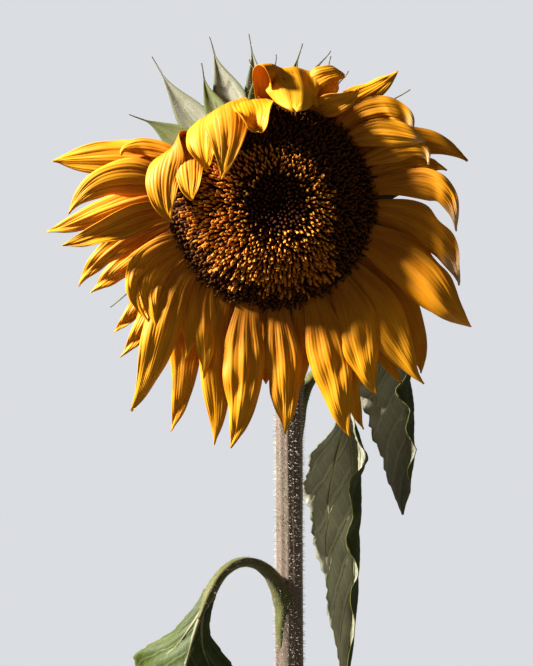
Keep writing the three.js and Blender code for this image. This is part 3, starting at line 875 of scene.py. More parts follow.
def spiral_tree() -> bpy.types.NodeTree:
    """Builds the tree that seats florets on a dome along a golden-angle spiral.

    Returns:
        The tree. Its inputs pick the zone, the floret and the finishes, and how far dark withered florets reach in over
        the upper right as painted shade.
    """
    bench, given, end = new_group("Floret Spiral", "GeometryNodeTree", (
        ("Geometry", "NodeSocketGeometry", None), ("Count", "NodeSocketInt", 1700),
        ("Spacing", "NodeSocketFloat", 1.55), ("Golden Angle", "NodeSocketFloat", math.radians(137.508)),
        ("Dome Radius", "NodeSocketFloat", 66.5), ("Dome Rise", "NodeSocketFloat", 21.0),
        ("Hollow", "NodeSocketFloat", 3.5), ("Hollow Radius", "NodeSocketFloat", 26.0),
        ("Sink", "NodeSocketFloat", 4.0), ("Zone Start", "NodeSocketFloat", 0.0),
        ("Zone End", "NodeSocketFloat", 70.0), ("Zone Blur", "NodeSocketFloat", 3.0),
        ("Zone Right", "NodeSocketFloat", 0.0), ("Zone Up", "NodeSocketFloat", 0.0),
        ("Zone Slant", "NodeSocketFloat", 0.0), ("Slant Reach", "NodeSocketFloat", 55.0),
        ("Size Start", "NodeSocketFloat", 1.0), ("Size End", "NodeSocketFloat", 1.0),
        ("Splay", "NodeSocketFloat", 0.012), ("Lean", "NodeSocketFloat", 0.12),
        ("Shake", "NodeSocketFloat", 0.38), ("Floret", "NodeSocketObject", None),
        ("Body Finish", "NodeSocketMaterial", None), ("Tip Finish", "NodeSocketMaterial", None),
        ("Seed", "NodeSocketInt", 3)), (("Geometry", "NodeSocketGeometry"),))
    index = bench.add("GeometryNodeInputIndex").outputs[0]
    radius = bench.maths("MULTIPLY", given["Spacing"], bench.maths("SQRT", bench.maths("ADD", index, 0.5)))
    angle = bench.maths("MULTIPLY", index, given["Golden Angle"])
    x = bench.maths("MULTIPLY", radius, bench.maths("COSINE", angle))
    y = bench.maths("MULTIPLY", radius, bench.maths("SINE", angle))
    share = bench.maths("DIVIDE", radius, given["Dome Radius"])
    dome = bench.maths("MULTIPLY", given["Dome Rise"],
                       bench.maths("SUBTRACT", 1.0, bench.maths("POWER", share, 3.0)))
    inside = bench.ranged(radius, 0.0, given["Hollow Radius"], given["Hollow"], 0.0)
    height = bench.maths("SUBTRACT", bench.maths("SUBTRACT", dome, inside), given["Sink"])

    def chance(seed: int, low: object, high: object, kind: str = "FLOAT") -> Socket:
        """Gives a random number or vector for each point."""
        return live(bench.add("FunctionNodeRandomValue", {"data_type": kind}, Min=low, Max=high,
                              Seed=bench.maths("ADD", given["Seed"], float(seed))))

    jolt = chance(6, (-1.0, -1.0, -0.8), (1.0, 1.0, 0.8), "FLOAT_VECTOR")
    shaken = bench.vector("SCALE", jolt, given["Shake"])
    points = bench.add("GeometryNodePoints", None, Count=given["Count"], Radius=0.5,
                       Position=bench.vector("ADD", bench.joined(x, y, height), shaken))
    centre = bench.joined(given["Zone Right"], given["Zone Up"], 0.0)
    away = bench.vector("DISTANCE", bench.joined(x, y, 0.0), centre).node.outputs["Value"]
    # Painted shade: towards the upper right the zone runs on into the dark withered florets, which stand in for the
    # shade on that side of the dome.
    shaded_side = bench.maths("MAXIMUM", bench.maths("ADD", x, y), 0.0)
    shaded_side = bench.maths("MULTIPLY", shaded_side, given["Zone Slant"])
    far = bench.maths("POWER", bench.maths("DIVIDE", away, given["Slant Reach"]), 2.0)
    zone = bench.maths("MULTIPLY_ADD", chance(1, -1.0, 1.0), given["Zone Blur"],
                       bench.maths("ADD", away, bench.maths("MULTIPLY", shaded_side, far)))
    both = bench.add("FunctionNodeBooleanMath", {"operation": "AND"})
    bench.feed(both, 0, bench.compare("GREATER_EQUAL", zone, given["Zone Start"]))
    bench.feed(both, 1, bench.compare("LESS_THAN", zone, given["Zone End"]))
    steep = bench.maths("DIVIDE", bench.maths("MULTIPLY", given["Dome Rise"], 3.0),
                        bench.maths("POWER", given["Dome Radius"], 3.0))
    tilt = bench.maths("MULTIPLY_ADD", steep, radius, given["Splay"])
    outward = bench.joined(bench.maths("MULTIPLY", x, tilt), bench.maths("MULTIPLY", y, tilt), 1.0)
    swayed = bench.vector("ADD", outward, bench.vector(
        "SCALE", chance(2, (-1.0, -1.0, -1.0), (1.0, 1.0, 1.0), "FLOAT_VECTOR"), given["Lean"]))
    aligned = bench.add("FunctionNodeAlignRotationToVector", {"axis": "Z"}, Vector=swayed)
    turn = bench.add("FunctionNodeEulerToRotation", None,
                     Euler=bench.joined(0.0, 0.0, chance(3, 0.0, FULL_TURN)))
    spun = bench.add("FunctionNodeRotateRotation", {"rotation_space": "LOCAL"},
                     Rotation=aligned.outputs[0], Rotate_By=turn.outputs[0])
    grown = bench.add("ShaderNodeMapRange", None, Value=radius, From_Min=given["Zone Start"],
                      From_Max=given["Zone End"], To_Min=given["Size Start"], To_Max=given["Size End"])
    scale = bench.maths("MULTIPLY", grown.outputs["Result"], chance(4, 0.82, 1.16))
    marked = bench.add("GeometryNodeStoreNamedAttribute", {"data_type": "FLOAT", "domain": "POINT"},
                       Geometry=points.outputs[0], Name="tint", Value=chance(5, 0.0, 1.0))
    shape = bench.add("GeometryNodeObjectInfo", None, Object=given["Floret"])
    placed = bench.add("GeometryNodeInstanceOnPoints", None, Points=marked.outputs[0],
                       Selection=both.outputs[0], Instance=shape.outputs["Geometry"],
                       Rotation=spun.outputs[0], Scale=scale)
    real = bench.add("GeometryNodeRealizeInstances", None, Geometry=placed.outputs[0])
    body = bench.add("GeometryNodeSetMaterial", None, Geometry=real.outputs[0], Material=given["Body Finish"])
    bright = bench.add("GeometryNodeInputNamedAttribute", {"data_type": "FLOAT"}, Name="bright")
    tips = bench.add("GeometryNodeSetMaterial", None, Geometry=body.outputs[0],
                     Selection=bench.compare("GREATER_THAN", live(bright), 0.5), Material=given["Tip Finish"])
    bench.feed(end, "Geometry", tips.outputs[0])
    return bench.tree


def bristle_tree() -> bpy.types.NodeTree:
    """Builds the tree that grows tapering hairs out of a skin where its value "fuzz" is high.

    Returns:
        The tree. Its inputs set how close, long, thick and slanted the hairs are.
    """
    bench, given, end = new_group("Bristles", "GeometryNodeTree", (
        ("Geometry", "NodeSocketGeometry", None), ("Density", "NodeSocketFloat", 0.1),
        ("Length", "NodeSocketFloat", 1.6), ("Radius", "NodeSocketFloat", 0.09),
        ("Lean", "NodeSocketFloat", 0.45), ("Finish", "NodeSocketMaterial", None),
        ("Seed", "NodeSocketInt", 5)), (("Geometry", "NodeSocketGeometry"),))
    fuzz = bench.add("GeometryNodeInputNamedAttribute", {"data_type": "FLOAT"}, Name="fuzz")
    density = bench.maths("MULTIPLY", given["Density"], live(fuzz))
    spread = bench.add("GeometryNodeDistributePointsOnFaces", {"distribute_method": "RANDOM"},
                       Mesh=given["Geometry"], Density=density, Seed=given["Seed"])
    cone = bench.add("GeometryNodeMeshCone", {"fill_type": "NGON"}, Vertices=3, Side_Segments=1,
                     Fill_Segments=1, Radius_Top=0.0, Radius_Bottom=given["Radius"], Depth=given["Length"])
    drift = bench.add("FunctionNodeRandomValue", {"data_type": "FLOAT_VECTOR"}, Min=(-1.0, -1.0, -1.0),
                      Max=(1.0, 1.0, 1.0), Seed=given["Seed"])
    leaned = bench.vector("ADD", spread.outputs["Normal"], bench.vector("SCALE", live(drift), given["Lean"]))
    aligned = bench.add("FunctionNodeAlignRotationToVector", {"axis": "Z"}, Vector=leaned)
    size = bench.add("FunctionNodeRandomValue", {"data_type": "FLOAT"}, Min=0.45, Max=1.25,
                     Seed=given["Seed"])
    placed = bench.add("GeometryNodeInstanceOnPoints", None, Points=spread.outputs["Points"],
                       Instance=cone.outputs["Mesh"], Rotation=aligned.outputs[0], Scale=live(size))
    real = bench.add("GeometryNodeRealizeInstances", None, Geometry=placed.outputs[0])
    done = bench.add("GeometryNodeSetMaterial", None, Geometry=real.outputs[0], Material=given["Finish"])
    bench.feed(end, "Geometry", done.outputs[0])
    return bench.tree


# ---- Stem ----

@dataclass
class Stem:
    """The stem and the neck that bends from its top into the back of the head."""

    height: float = 1118.0
    foot_radius: float = 17.0
    low_radius: float = 13.0
    top_radius: float = 9.2
    flare: float = 40.0
    sway: float = 1.6
    neck_radius: float = 12.5
    neck_rise: float = 44.0
    neck_reach: float = 34.0
    taper: float = 900.0
    bristle_density: float = 0.3
    bristle_length: float = 2.7
    bristle_radius: float = 0.15
    ribs: int = 11
    around: int = 66

    def axis(self, z: Array | float) -> Array:
        """Gives the centre line's points at heights."""
        share = np.asarray(z, dtype=float) / self.height
        return np.stack([-self.sway * np.sin(2 * np.pi * share),
                         0.6 * self.sway * np.sin(3 * np.pi * share) * (1 - share),
                         np.asarray(z, dtype=float)], axis=-1)

    def radius(self, z: Array | float) -> Array:
        """Gives the radius at heights."""
        flare = np.maximum(0, 1 - np.asarray(z) / self.flare)
        return (lerp(self.low_radius, self.top_radius, np.minimum(1, np.asarray(z) / self.taper))
                + (self.foot_radius - self.low_radius) * flare * flare)

    def relief(self, angle: Array, along: Array) -> Array:
        """Gives the ribs' height over the stem's skin.

        Args:
            angle: Round the stem, in radians.
            along: Along the stem, in millimetres.

        Returns:
            Heights in millimetres.
        """
        ribs = np.cos(self.ribs * angle + 0.5 * np.sin(along / 90))
        fine = np.sin(31 * angle + 1.7 * np.sin(along / 47)) * np.sin(along / 13 + 5 * np.sin(2 * angle))
        knots = np.sin(along / 38 + 2 * np.sin(angle)) * np.sin(3 * angle + along / 71)
        return 0.28 * ribs + 0.10 * fine + 0.22 * knots

    def shoulders(self, angle: Array, z: Array, leaves: Sequence["Leaf"]) -> Array:
        """Gives the swelling under each leaf stalk, with two ridges that run down from it.

        Args:
            angle: Round the stem, in radians.
            z: Heights.
            leaves: The leaves that the stem bears.

        Returns:
            Heights over the skin in millimetres.
        """
        total = np.zeros(np.broadcast(angle, z).shape)
        for leaf in leaves:
            off = (np.degrees(angle) - leaf.azimuth + 540) % 360 - 180
            drop = leaf.height - z
            below = np.exp(-(np.where(drop > 0, drop / 26, drop / 9)) ** 2)
            total += 1.3 * np.exp(-(off / 38) ** 2) * below
            run = smoothstep(drop, -4, 6) * (1 - smoothstep(drop, 30, 95))
            for way in (-1, 1):
                total += 0.75 * run * np.exp(-((off - way * (22 + drop * 0.05)) / 8) ** 2)
        return total

    def build(self, leaves: Sequence["Leaf"], head: "Head", dress: "Wardrobe") -> None:
        """Makes the stem, the neck and their bristles.

        Args:
            leaves: The leaves that the stem bears.
            head: The flower head, which says where the neck ends.
            dress: The plant's finishes.
        """
        angle = np.linspace(0, 2 * np.pi, self.around, endpoint=False)[None, :]
        ring = np.stack([np.cos(angle[0]), np.sin(angle[0]), np.zeros(self.around)], axis=-1)
        z = np.concatenate([np.linspace(0, 40, 16), np.linspace(46, self.height, 268)])[:, None]
        level = smoothstep(z, 0, 12)
        out = self.radius(z) - 0.25 + (self.relief(angle, z) + self.shoulders(angle, z, leaves)) * level
        stem = Draft()
        stem.tube(self.axis(z[:, 0])[:, None, :] + ring[None] * out[..., None], fuzz=smoothstep(z, 6, 14))
        settle(show(stem.mesh("stem_skin", [dress.stem])), ["stem"])

        curve = self.neck(head)
        frames = Frames.along(curve, np.linspace(0, 1, 36), np.array([1.0, 0, 0]))
        radius = lerp(self.top_radius, self.neck_radius, frames.t ** 2)[:, None]
        wide = radius - 0.2 + self.relief(angle, self.height + 80 * frames.t[:, None])
        wide = wide + 3.0 * smoothstep(frames.t, 0.8, 1)[:, None]
        neck = Draft()
        neck.tube(ring_points(frames.points, frames.sides, frames.normals, angle, wide), fuzz=1.0)
        settle(show(neck.mesh("neck_skin", [dress.stem])), ["neck"])
        for name, draft, seed in (("stem_bristles", stem, 5), ("neck_bristles", neck, 6)):
            dress.bristles(name, draft, density=self.bristle_density, length=self.bristle_length,
                           radius=self.bristle_radius, seed=seed)

    def neck(self, head: "Head") -> Bezier:
        """Gives the neck's centre line, up to the back of the head."""
        foot = self.axis(self.height) + np.array([0, 0, -0.2])
        end = head.put(np.array([0, 0, -head.depth + 1.0]))
        facing = head.put(np.array([0, 0, 1.0])) - head.put(np.zeros(3))
        return Bezier(np.stack([foot, foot + [0, 0, self.neck_rise], end - facing * self.neck_reach, end]))


# ---- Leaves ----

@dataclass(frozen=True)
class Leaf:
    """One leaf: where its stalk leaves the stem, its arch, and how its blade hangs, folds and turns."""

    height: float
    azimuth: float
    reach: float
    rise: float
    end: float
    hang: Triple
    width: float
    fold: tuple[float, float]
    turn: float
    twist: float
    wave: float
    widest: float = 0.42
    neck: float = 1.0
    seed: int = 1


@dataclass
class Foliage:
    """All leaves, from the top of the stem down."""

    stem: Stem
    count: int = 8
    step: float = 84.0
    golden_angle: float = 137.5
    reach: float = 96.0
    length: float = 196.0
    width: float = 150.0
    rows: int = 84
    columns: int = 22
    root_width: float = 0.1
    stalk_root: float = 6.2
    stalk_tip: float = 3.7
    tooth: float = 9.0
    tooth_depth: float = 2.6
    upper: tuple[Leaf, ...] = (
        Leaf(1088, 14, 69, 28, 40, (14, 8, -148), 72, (84, 26), -58, -8, 12, 0.4, seed=1),
        Leaf(1040, 50, 60, 28, 24, (4, -2, -212), 80, (74, 50), -30, 24, 16, 0.3, seed=2),
        Leaf(922, 222, 71, 24, 14, (-25, -14, -168), 124, (44, 38), -50, 6, 12, 0.5, 1.7, 3),
    )

    def leaves(self) -> list[Leaf]:
        """Gives every leaf: the upper three, and the lower ones by their rule."""
        chance = Seeded(11)
        last = self.upper[-1]
        lower = []
        for k in range(1, self.count + 1):
            azimuth = (last.azimuth + self.golden_angle * k) % 360
            height = last.height - self.step * k
            reach = self.reach + chance.spread(22)
            length = min(self.length + chance.spread(26), height - 40)
            away = heading(azimuth + chance.spread(30)) * length * 0.14
            rise = 20 + chance.spread(5)
            width = self.width + chance.spread(14)
            fold = (46 + chance.spread(12), 46 + chance.spread(12))
            turn, twist = chance.spread(26), chance.spread(34)
            lower.append(Leaf(height, azimuth, reach, rise, -8, (away[0], away[1], -length), width, fold,
                              turn, twist, 18 + chance.spread(5), seed=3 + k))
        return [*self.upper, *lower]

    def stalk_curve(self, leaf: Leaf) -> Bezier:
        """Gives a leaf stalk's centre line: out of the stem, over its arch and down to the blade."""
        outward, up = heading(leaf.azimuth), np.array([0, 0, 1.0])
        root = self.stem.axis(leaf.height) + outward * self.stem.radius(leaf.height) * 0.5
        tip = self.stem.axis(leaf.height) + outward * leaf.reach + up * leaf.end
        return Bezier(np.stack([root, root + outward * leaf.reach * 0.2 + up * leaf.rise * 1.45,
                                tip - outward * leaf.reach * 0.26 + up * leaf.rise * 1.15, tip]))

    def midrib_curve(self, leaf: Leaf) -> Bezier:
        """Gives a blade's midrib: on from the stalk, then hanging under its own weight."""
        stalk = self.stalk_curve(leaf)
        along = stalk.tangent(np.array([1.0]))[0]
        length = abs(leaf.hang[2])
        root = stalk.at(np.array([1.0]))[0] + along * 0.3
        tip = root + np.array(leaf.hang)
        return Bezier(np.stack([root, root + along * length * 0.26,
                                tip + [0, 0, length * 0.4] + heading(leaf.azimuth) * length * 0.05, tip]))

    def half_width(self, t: Array, leaf: Leaf) -> Array:
        """Gives half a blade's width along it."""
        past = np.clip((t - leaf.widest) / (1 - leaf.widest), 0, 1)
        near = lerp(self.root_width, 1, smoothstep(t, 0, leaf.widest) ** leaf.neck)
        far = (1 - past) ** 0.85 * (1 + 0.35 * past)
        return np.maximum(0.8, leaf.width / 2 * np.where(t < leaf.widest, near, far))

    def blade(self, leaf: Leaf) -> tuple[Array, Array, Array]:
        """Shapes one blade.

        Args:
            leaf: The leaf.

        Returns:
            Its surface by t and s, where each point lies, and its thickness.
        """
        rng = np.random.default_rng(40 + leaf.seed)
        t = np.linspace(0, 1, self.rows)
        s = np.linspace(-1, 1, self.columns + 1)
        length = abs(leaf.hang[2])
        frames = Frames.along(self.midrib_curve(leaf), t, heading(leaf.azimuth + 90))
        frames = frames.spun(leaf.turn + leaf.twist * t)
        size, out = np.abs(s)[None, :], np.where(s > 0, 1, 0)[None, :]
        fold = np.where(out > 0, leaf.fold[1], leaf.fold[0])
        wave = leaf.wave * np.sin(2 * np.pi * (1.4 * t[:, None] + np.where(out > 0, 0.15, 0.6)))
        ripple = rng.uniform(4, 5.5) * t[:, None] + rng.uniform(0, 1) + out * 0.3
        ripple = 16 * size ** 2 * np.sin(2 * np.pi * ripple)
        slope = fold * (0.55 + 0.6 * np.minimum(1, size + 0.12)) + wave * size + ripple
        width = self.half_width(t, leaf)
        grid = frames.unfold(width, s, slope)
        # Teeth: the margin runs out to a point and drops back.
        teeth = length / self.tooth
        notch = (teeth * t[:, None] + 0.5 * out) % 1.0
        reach = self.tooth_depth * notch * smoothstep(size, 0.72, 1) * np.minimum(1, width / width.max() * 1.6)[:, None]
        edge = unit(grid - frames.points[:, None] + 1e-6)
        grid = grid + edge * reach[..., None]
        row = (t[:, None] - size * VEIN_SLANT) * VEIN_ROWS
        vein = np.exp(-(((row % 1.0) - 0.5) / 0.13) ** 2) * smoothstep(size, 0.0, 0.12)
        puff = np.sin(np.pi * (row % 1.0 + 0.5)) ** 2 * np.sin(np.pi * np.minimum(1, size * 1.1))
        midrib = np.exp(-(size / 0.05) ** 2)
        crumple = np.zeros_like(row)
        for _ in range(5):
            a, b, c = rng.uniform(2, 7), rng.uniform(2, 8), rng.uniform(0, 6.28)
            crumple += np.sin(a * t[:, None] * 2 * np.pi + b * s[None, :] + c) / 5
        lift = 1.3 * puff - 1.0 * vein + 1.6 * crumple * size - 0.5 * midrib
        lift = lift * np.minimum(1, width / 25)[:, None]
        grid = grid + grid_normals(grid) * lift[..., None]
        thickness = 0.6 + 0.5 * midrib + 0.3 * vein * (1 - size)
        uv = np.stack(np.broadcast_arrays((s[None, :] + 1) / 2, t[:, None]), axis=-1)
        return grid, uv, thickness

    def veins(self, grid: Array, thickness: Array, draft: Draft) -> None:
        """Lays raised veins on a blade's under face: the midrib, two strong side ribs and the side veins.

        Args:
            grid: The blade's surface by t and s.
            thickness: Its thickness by t and s.
            draft: What the veins are added to, in its third material slot.
        """
        rows, columns = grid.shape[:2]
        under = grid - grid_normals(grid) * (thickness / 2)[..., None]
        size = float(np.linalg.norm(grid[-1, columns // 2] - grid[0, columns // 2])) / 190
        x = np.linspace(0, 1, 22)
        runs = [(0.96 * x, 0 * x, 2.3, 0.3)]
        for way in (-1, 1):
            runs.append((0.01 + 0.60 * x, way * 0.78 * x ** 0.9, 2.0, 0.22))
            for i in range(1, 7):
                start = (i + 0.5) / VEIN_ROWS
                reach = min(1.0, (0.985 - start) / VEIN_SLANT) * 0.9
                runs.append((start + VEIN_SLANT * reach * x, way * reach * x, 0.75, 0.16))
        angle = np.linspace(0, 2 * np.pi, 6, endpoint=False)
        for t, s, first, last in runs:
            r, c = t * (rows - 1), (s + 1) / 2 * (columns - 1)
            r0, c0 = np.minimum(r.astype(int), rows - 2), np.minimum(c.astype(int), columns - 2)
            fr, fc = (r - r0)[:, None], (c - c0)[:, None]
            path = ((under[r0, c0] * (1 - fr) + under[r0 + 1, c0] * fr) * (1 - fc)
                    + (under[r0, c0 + 1] * (1 - fr) + under[r0 + 1, c0 + 1] * fr) * fc)
            tangents = unit(np.gradient(path, axis=0))
            normals = unit(np.cross(tangents, [0.31, 0.52, 0.79]))
            sides = np.cross(normals, tangents)
            radius = (size * lerp(first, last, x ** 0.7))[:, None]
            draft.tube(ring_points(path, sides, normals, angle, radius), None, 2)

    def stalk(self, leaf: Leaf) -> tuple[Array, Array]:
        """Shapes one leaf stalk with a groove along its upper side.

        Args:
            leaf: The leaf.

        Returns:
            The tube's rings and each ring point's place.
        """
        t = np.linspace(0, 1, 46)
        frames = Frames.along(self.stalk_curve(leaf), t, heading(leaf.azimuth + 90))
        angle = np.linspace(0, 2 * np.pi, 22, endpoint=False)[None, :]
        radius = lerp(self.stalk_root, self.stalk_tip, np.minimum(1, t * 2.2))[:, None]
        radius = (radius + 1.6 * (1 - smoothstep(t, 0.0, 0.26))[:, None]
                  + 0.5 * smoothstep(t, 0.86, 1)[:, None])
        points, sides, normals = frames.points, frames.sides, frames.normals
        # Below its root the stalk runs out into a ridge down the stem.
        share = np.linspace(1, 0.14, 14)
        height = leaf.height - 46 * share
        outward = heading(leaf.azimuth)
        depth = lerp(0.5, 0.8, smoothstep(share, 0, 0.5)) - 0.3 * smoothstep(share, 0.6, 1)
        inset = self.stem.radius(height) * depth
        points = np.concatenate([self.stem.axis(height) + outward * inset[:, None], points])
        sides = np.concatenate([np.tile(heading(leaf.azimuth + 90), (len(share), 1)), sides])
        normals = np.concatenate([np.tile(-outward, (len(share), 1)), normals])
        radius = np.concatenate([lerp(radius[0], 2.2, smoothstep(share, -0.25, 0.9))[:, None], radius])
        t = np.concatenate([-0.4 * share, t])
        # Past its tip the stalk thins out along the blade's midrib.
        onward = np.linspace(0.015, 0.15, 9)
        beyond = Frames.along(self.midrib_curve(leaf), onward, frames.sides[-1])
        points = np.concatenate([points, beyond.points])
        sides = np.concatenate([sides, beyond.sides])
        normals = np.concatenate([normals, beyond.normals])
        radius = np.concatenate([radius, lerp(radius[-1], 1.6, smoothstep(onward, 0, 0.15)[:, None])])
        t = np.concatenate([t, 1 + onward])[:, None]
        groove = np.exp(-((angle - np.pi / 2) / 0.42) ** 2) * 0.2
        ribs = 0.045 * np.cos(7 * angle + 0.6) + 0.02 * np.sin(40 * t + 3 * angle)
        rings = ring_points(points, sides, normals, angle, radius * (1 - groove + ribs))
        uv = np.stack(np.broadcast_arrays(angle / FULL_TURN, t), axis=-1)
        return rings, uv

    def build(self, dress: "Wardrobe") -> None:
        """Makes each stalk and blade, and the stalks' bristles.

        Args:
            dress: The plant's finishes.
        """
        hairy = Draft()
        for k, leaf in enumerate(self.leaves(), start=1):
            rings, places = self.stalk(leaf)
            stalk = Draft()
            stalk.tube(rings, places, fuzz=1.0)
            hairy.tube(rings, places, fuzz=1.0)
            settle(show(stalk.mesh(f"stalk_{k:02d}", [dress.stalk])), [f"leaf_stalk_{k:02d}"])
            grid, uv, thickness = self.blade(leaf)
            blade = Draft()
            blade.sheet(grid, thickness, uv, 0, 1)
            self.veins(grid, thickness, blade)
            settle(show(blade.mesh(f"blade_{k:02d}", [dress.leaf_upper, dress.leaf_under, dress.leaf_vein])),
                   [f"leaf_blade_{k:02d}"])
        dress.bristles("stalk_bristles", hairy, density=0.2, length=1.4, radius=0.09, seed=8)


# ---- Flower head ----

@dataclass(frozen=True)
class Ray:
    """One ray floret, by the clock angle of its root and the middle and end of its centre line.

    row runs from 0 in front to 2 behind. cup bends both margins back. out is how far the floret runs
    outwards before it bends. blunt rounds its end. face is the heading of a folded floret's side at its
    tip, and open its cup there. roll bends the margins on by so many degrees, left and right. hook
    bends its tip back. dry is how far its tip is withered.
    """

    clock: float
    via: Triple
    tip: Triple
    width: float
    row: int
    cup: float
    out: float | None = None
    blunt: float = 0.0
    face: float | None = None
    open: float | None = None
    roll: tuple[float, float] = (0.0, 0.0)
    hook: float = 0.0
    dry: float = 0.0


RAYS: dict[str, tuple[Ray, ...]] = {
    "left": (
        Ray(152, (-82, 38, -4), (-98, 34, -2), 13, 1, 20),
        Ray(158, (-105, 31, -9), (-144, 29, -12), 26, 2, 12),
        Ray(167, (-99, 18, 4), (-132, -4, 4), 27, 1, 18),
        Ray(174, (-105, -2, -6), (-149, -17, -12), 21, 2, 14),
        Ray(182, (-99, -12, 8), (-136, -25, 8), 21, 0, -20),
        Ray(189, (-100, -25, 1), (-127, -52, -2), 18, 1, 14),
        Ray(195, (-92, -34, -7), (-120, -57, -9), 20, 2, 12),
    ),
    "lower_left": (
        Ray(199, (-85, -36, 5), (-80, -76, 6), 14, 0, 12, 10),
        Ray(206, (-77, -44, 4), (-72, -86, 7), 19, 0, 10),
        Ray(207, (-82, -55, -8), (-105, -83, -9), 17, 2, 14),
        Ray(212, (-78, -65, -1), (-100, -99, -3), 18, 1, 14),
        Ray(217, (-73, -82, 8), (-92, -133, 8), 26, 0, 14),
        Ray(222, (-54, -69, 1), (-57, -100, 0), 14, 1, 16),
        Ray(227, (-58, -94, -7), (-68, -149, -8), 23, 2, 12),
        Ray(232, (-45, -80, 2), (-45, -112, 2), 17, 1, 18),
    ),
    "bottom": (
        Ray(241, (-38, -104, -1), (-39, -157, -3), 24, 1, 14),
        Ray(248, (-27, -102, -8), (-27, -139, -9), 20, 2, 10),
        Ray(256, (-19, -109, 7), (-27, -157, 8), 29, 0, 14),
        Ray(265, (-6, -94, -7), (-5, -117, -7), 20, 2, 10),
        Ray(273, (7, -108, 4), (8, -149, 4), 26, 1, 16),
        Ray(285, (18, -94, -7), (16, -125, -8), 17, 2, 12),
        Ray(294, (38, -103, 8), (50, -150, 8), 29, 0, 14),
        Ray(301, (41, -89, 0), (48, -123, 0), 19, 1, 20),
        Ray(305, (49, -99, -9), (59, -148, -10), 19, 2, 12),
    ),
    "lower_right": (
        Ray(311, (56, -84, 7), (67, -122, 6), 30, 0, 14),
        Ray(316, (66, -80, -8), (84, -117, -8), 20, 2, 12),
        Ray(320, (73, -76, 5), (98, -115, 6), 30, 1, 14),
        Ray(330, (86, -69, -9), (97, -110, -9), 23, 2, 12),
        Ray(341, (97, -48, 14), (129, -80, 8), 40, 0, 34, hook=3),
    ),
    "right": (
        Ray(357, (99, -15, 4), (121, -51, 4), 27, 1, 12, roll=(0, -70), dry=0.9),
        Ray(10, (104, 12, 9), (119, -16, 8), 21, 0, 8, 40, roll=(30, 0), dry=0.8),
        Ray(17, (88, 25, -1), (112, 23, 2), 16, 1, 14),
        Ray(25, (86, 36, 4), (101, 27, 5), 14, 0, 16, dry=0.9),
        Ray(32, (91, 42, -9), (126, 29, -11), 20, 2, 12),
        Ray(39, (76, 46, 6), (99, 41, 5), 20, 0, 14, dry=0.5),
        Ray(48, (71, 60, 1), (91, 44, 4), 22, 1, 16, dry=0.9),
        Ray(56, (58, 70, -9), (81, 86, -11), 18, 2, 14),
    ),
    "top": (
        Ray(65, (41, 66, 6), (56, 75, 6), 17, 0, -16),
        Ray(72, (33, 78, 2), (47, 83, 1), 25, 2, 16),
        Ray(79, (19, 80, 3), (30, 64, 12), 25, 1, -24, 30, 0, 166),
        Ray(90, (8, 88.5, 2), (16, 61, 20), 41, 1, -32, 34, 0.75, 178, -18, roll=(0, -40)),
        Ray(103, (-11, 66, 18), (-10, 49, 26), 26, 0, -6, 16, 1, 182, 44),
        Ray(113, (-28, 58, 21), (-31, 19, 27), 33, 0, -16, 26, 0, 186, 10),
        Ray(123, (-43, 50, 18), (-41, 24, 23), 29, 1, -16, 24, 0, 205, 14),
        Ray(133, (-53, 33, 15), (-51, 5, 20), 23, 1, -16, 24, 0, 200, 14),
        Ray(143, (-69, 25, 16), (-64, -9, 19), 27, 0, -18, 28, 0, 200, 16),
    ),
}

BRACTS: dict[str, tuple[tuple[float, float, float, float], ...]] = {
    "inner": (
        (6, 4, 95, 17), (23, 25, 98, 17), (42, 41, 117, 15), (55, 54, 98, 15), (67, 67, 104, 15),
        (81, 80, 107, 15), (97, 97, 96, 17), (121, 118, 104, 17), (136, 138, 88, 16), (145, 147, 112, 23),
        (162, 160, 88, 16), (180, 182, 99, 17), (195, 197, 101, 18), (210, 211, 129, 15), (228, 226, 97, 17),
        (246, 248, 94, 18), (264, 262, 99, 17), (281, 283, 96, 17), (298, 296, 101, 18), (315, 317, 97, 17),
        (332, 330, 100, 17), (349, 351, 97, 18)),
    "outer": (
        (14, 17, 104, 18), (33, 31, 101, 17), (61, 63, 99, 16), (74, 71, 108, 18), (89, 91, 98, 16),
        (98, 98, 113, 19), (112, 112, 118, 26), (133, 130, 127, 25), (153, 156, 101, 18), (171, 169, 103, 18),
        (188, 190, 106, 17), (220, 218, 104, 17), (237, 239, 102, 18), (255, 253, 107, 17),
        (273, 275, 101, 18), (290, 288, 107, 18), (307, 309, 103, 17), (324, 322, 106, 18),
        (341, 343, 102, 17)),
}


@dataclass
class Head:
    """Where the flower head sits. Its own frame has x right, y up and z forward of the disc's rim."""

    centre: Triple = (-10.9, -80.0, 1190.4)
    nod: float = 6.0
    turn: float = -3.0
    depth: float = 36.0

    def matrix(self) -> Matrix:
        """Gives the matrix that puts the head in place, in millimetres."""
        turn = Euler((math.radians(90 + self.nod), 0, math.radians(self.turn)), "XYZ")
        return Matrix.Translation(self.centre) @ turn.to_matrix().to_4x4()

    def put(self, point: Array) -> Array:
        """Gives where a point of the head's frame lies on the plant."""
        return np.array(self.matrix() @ Vector(point))


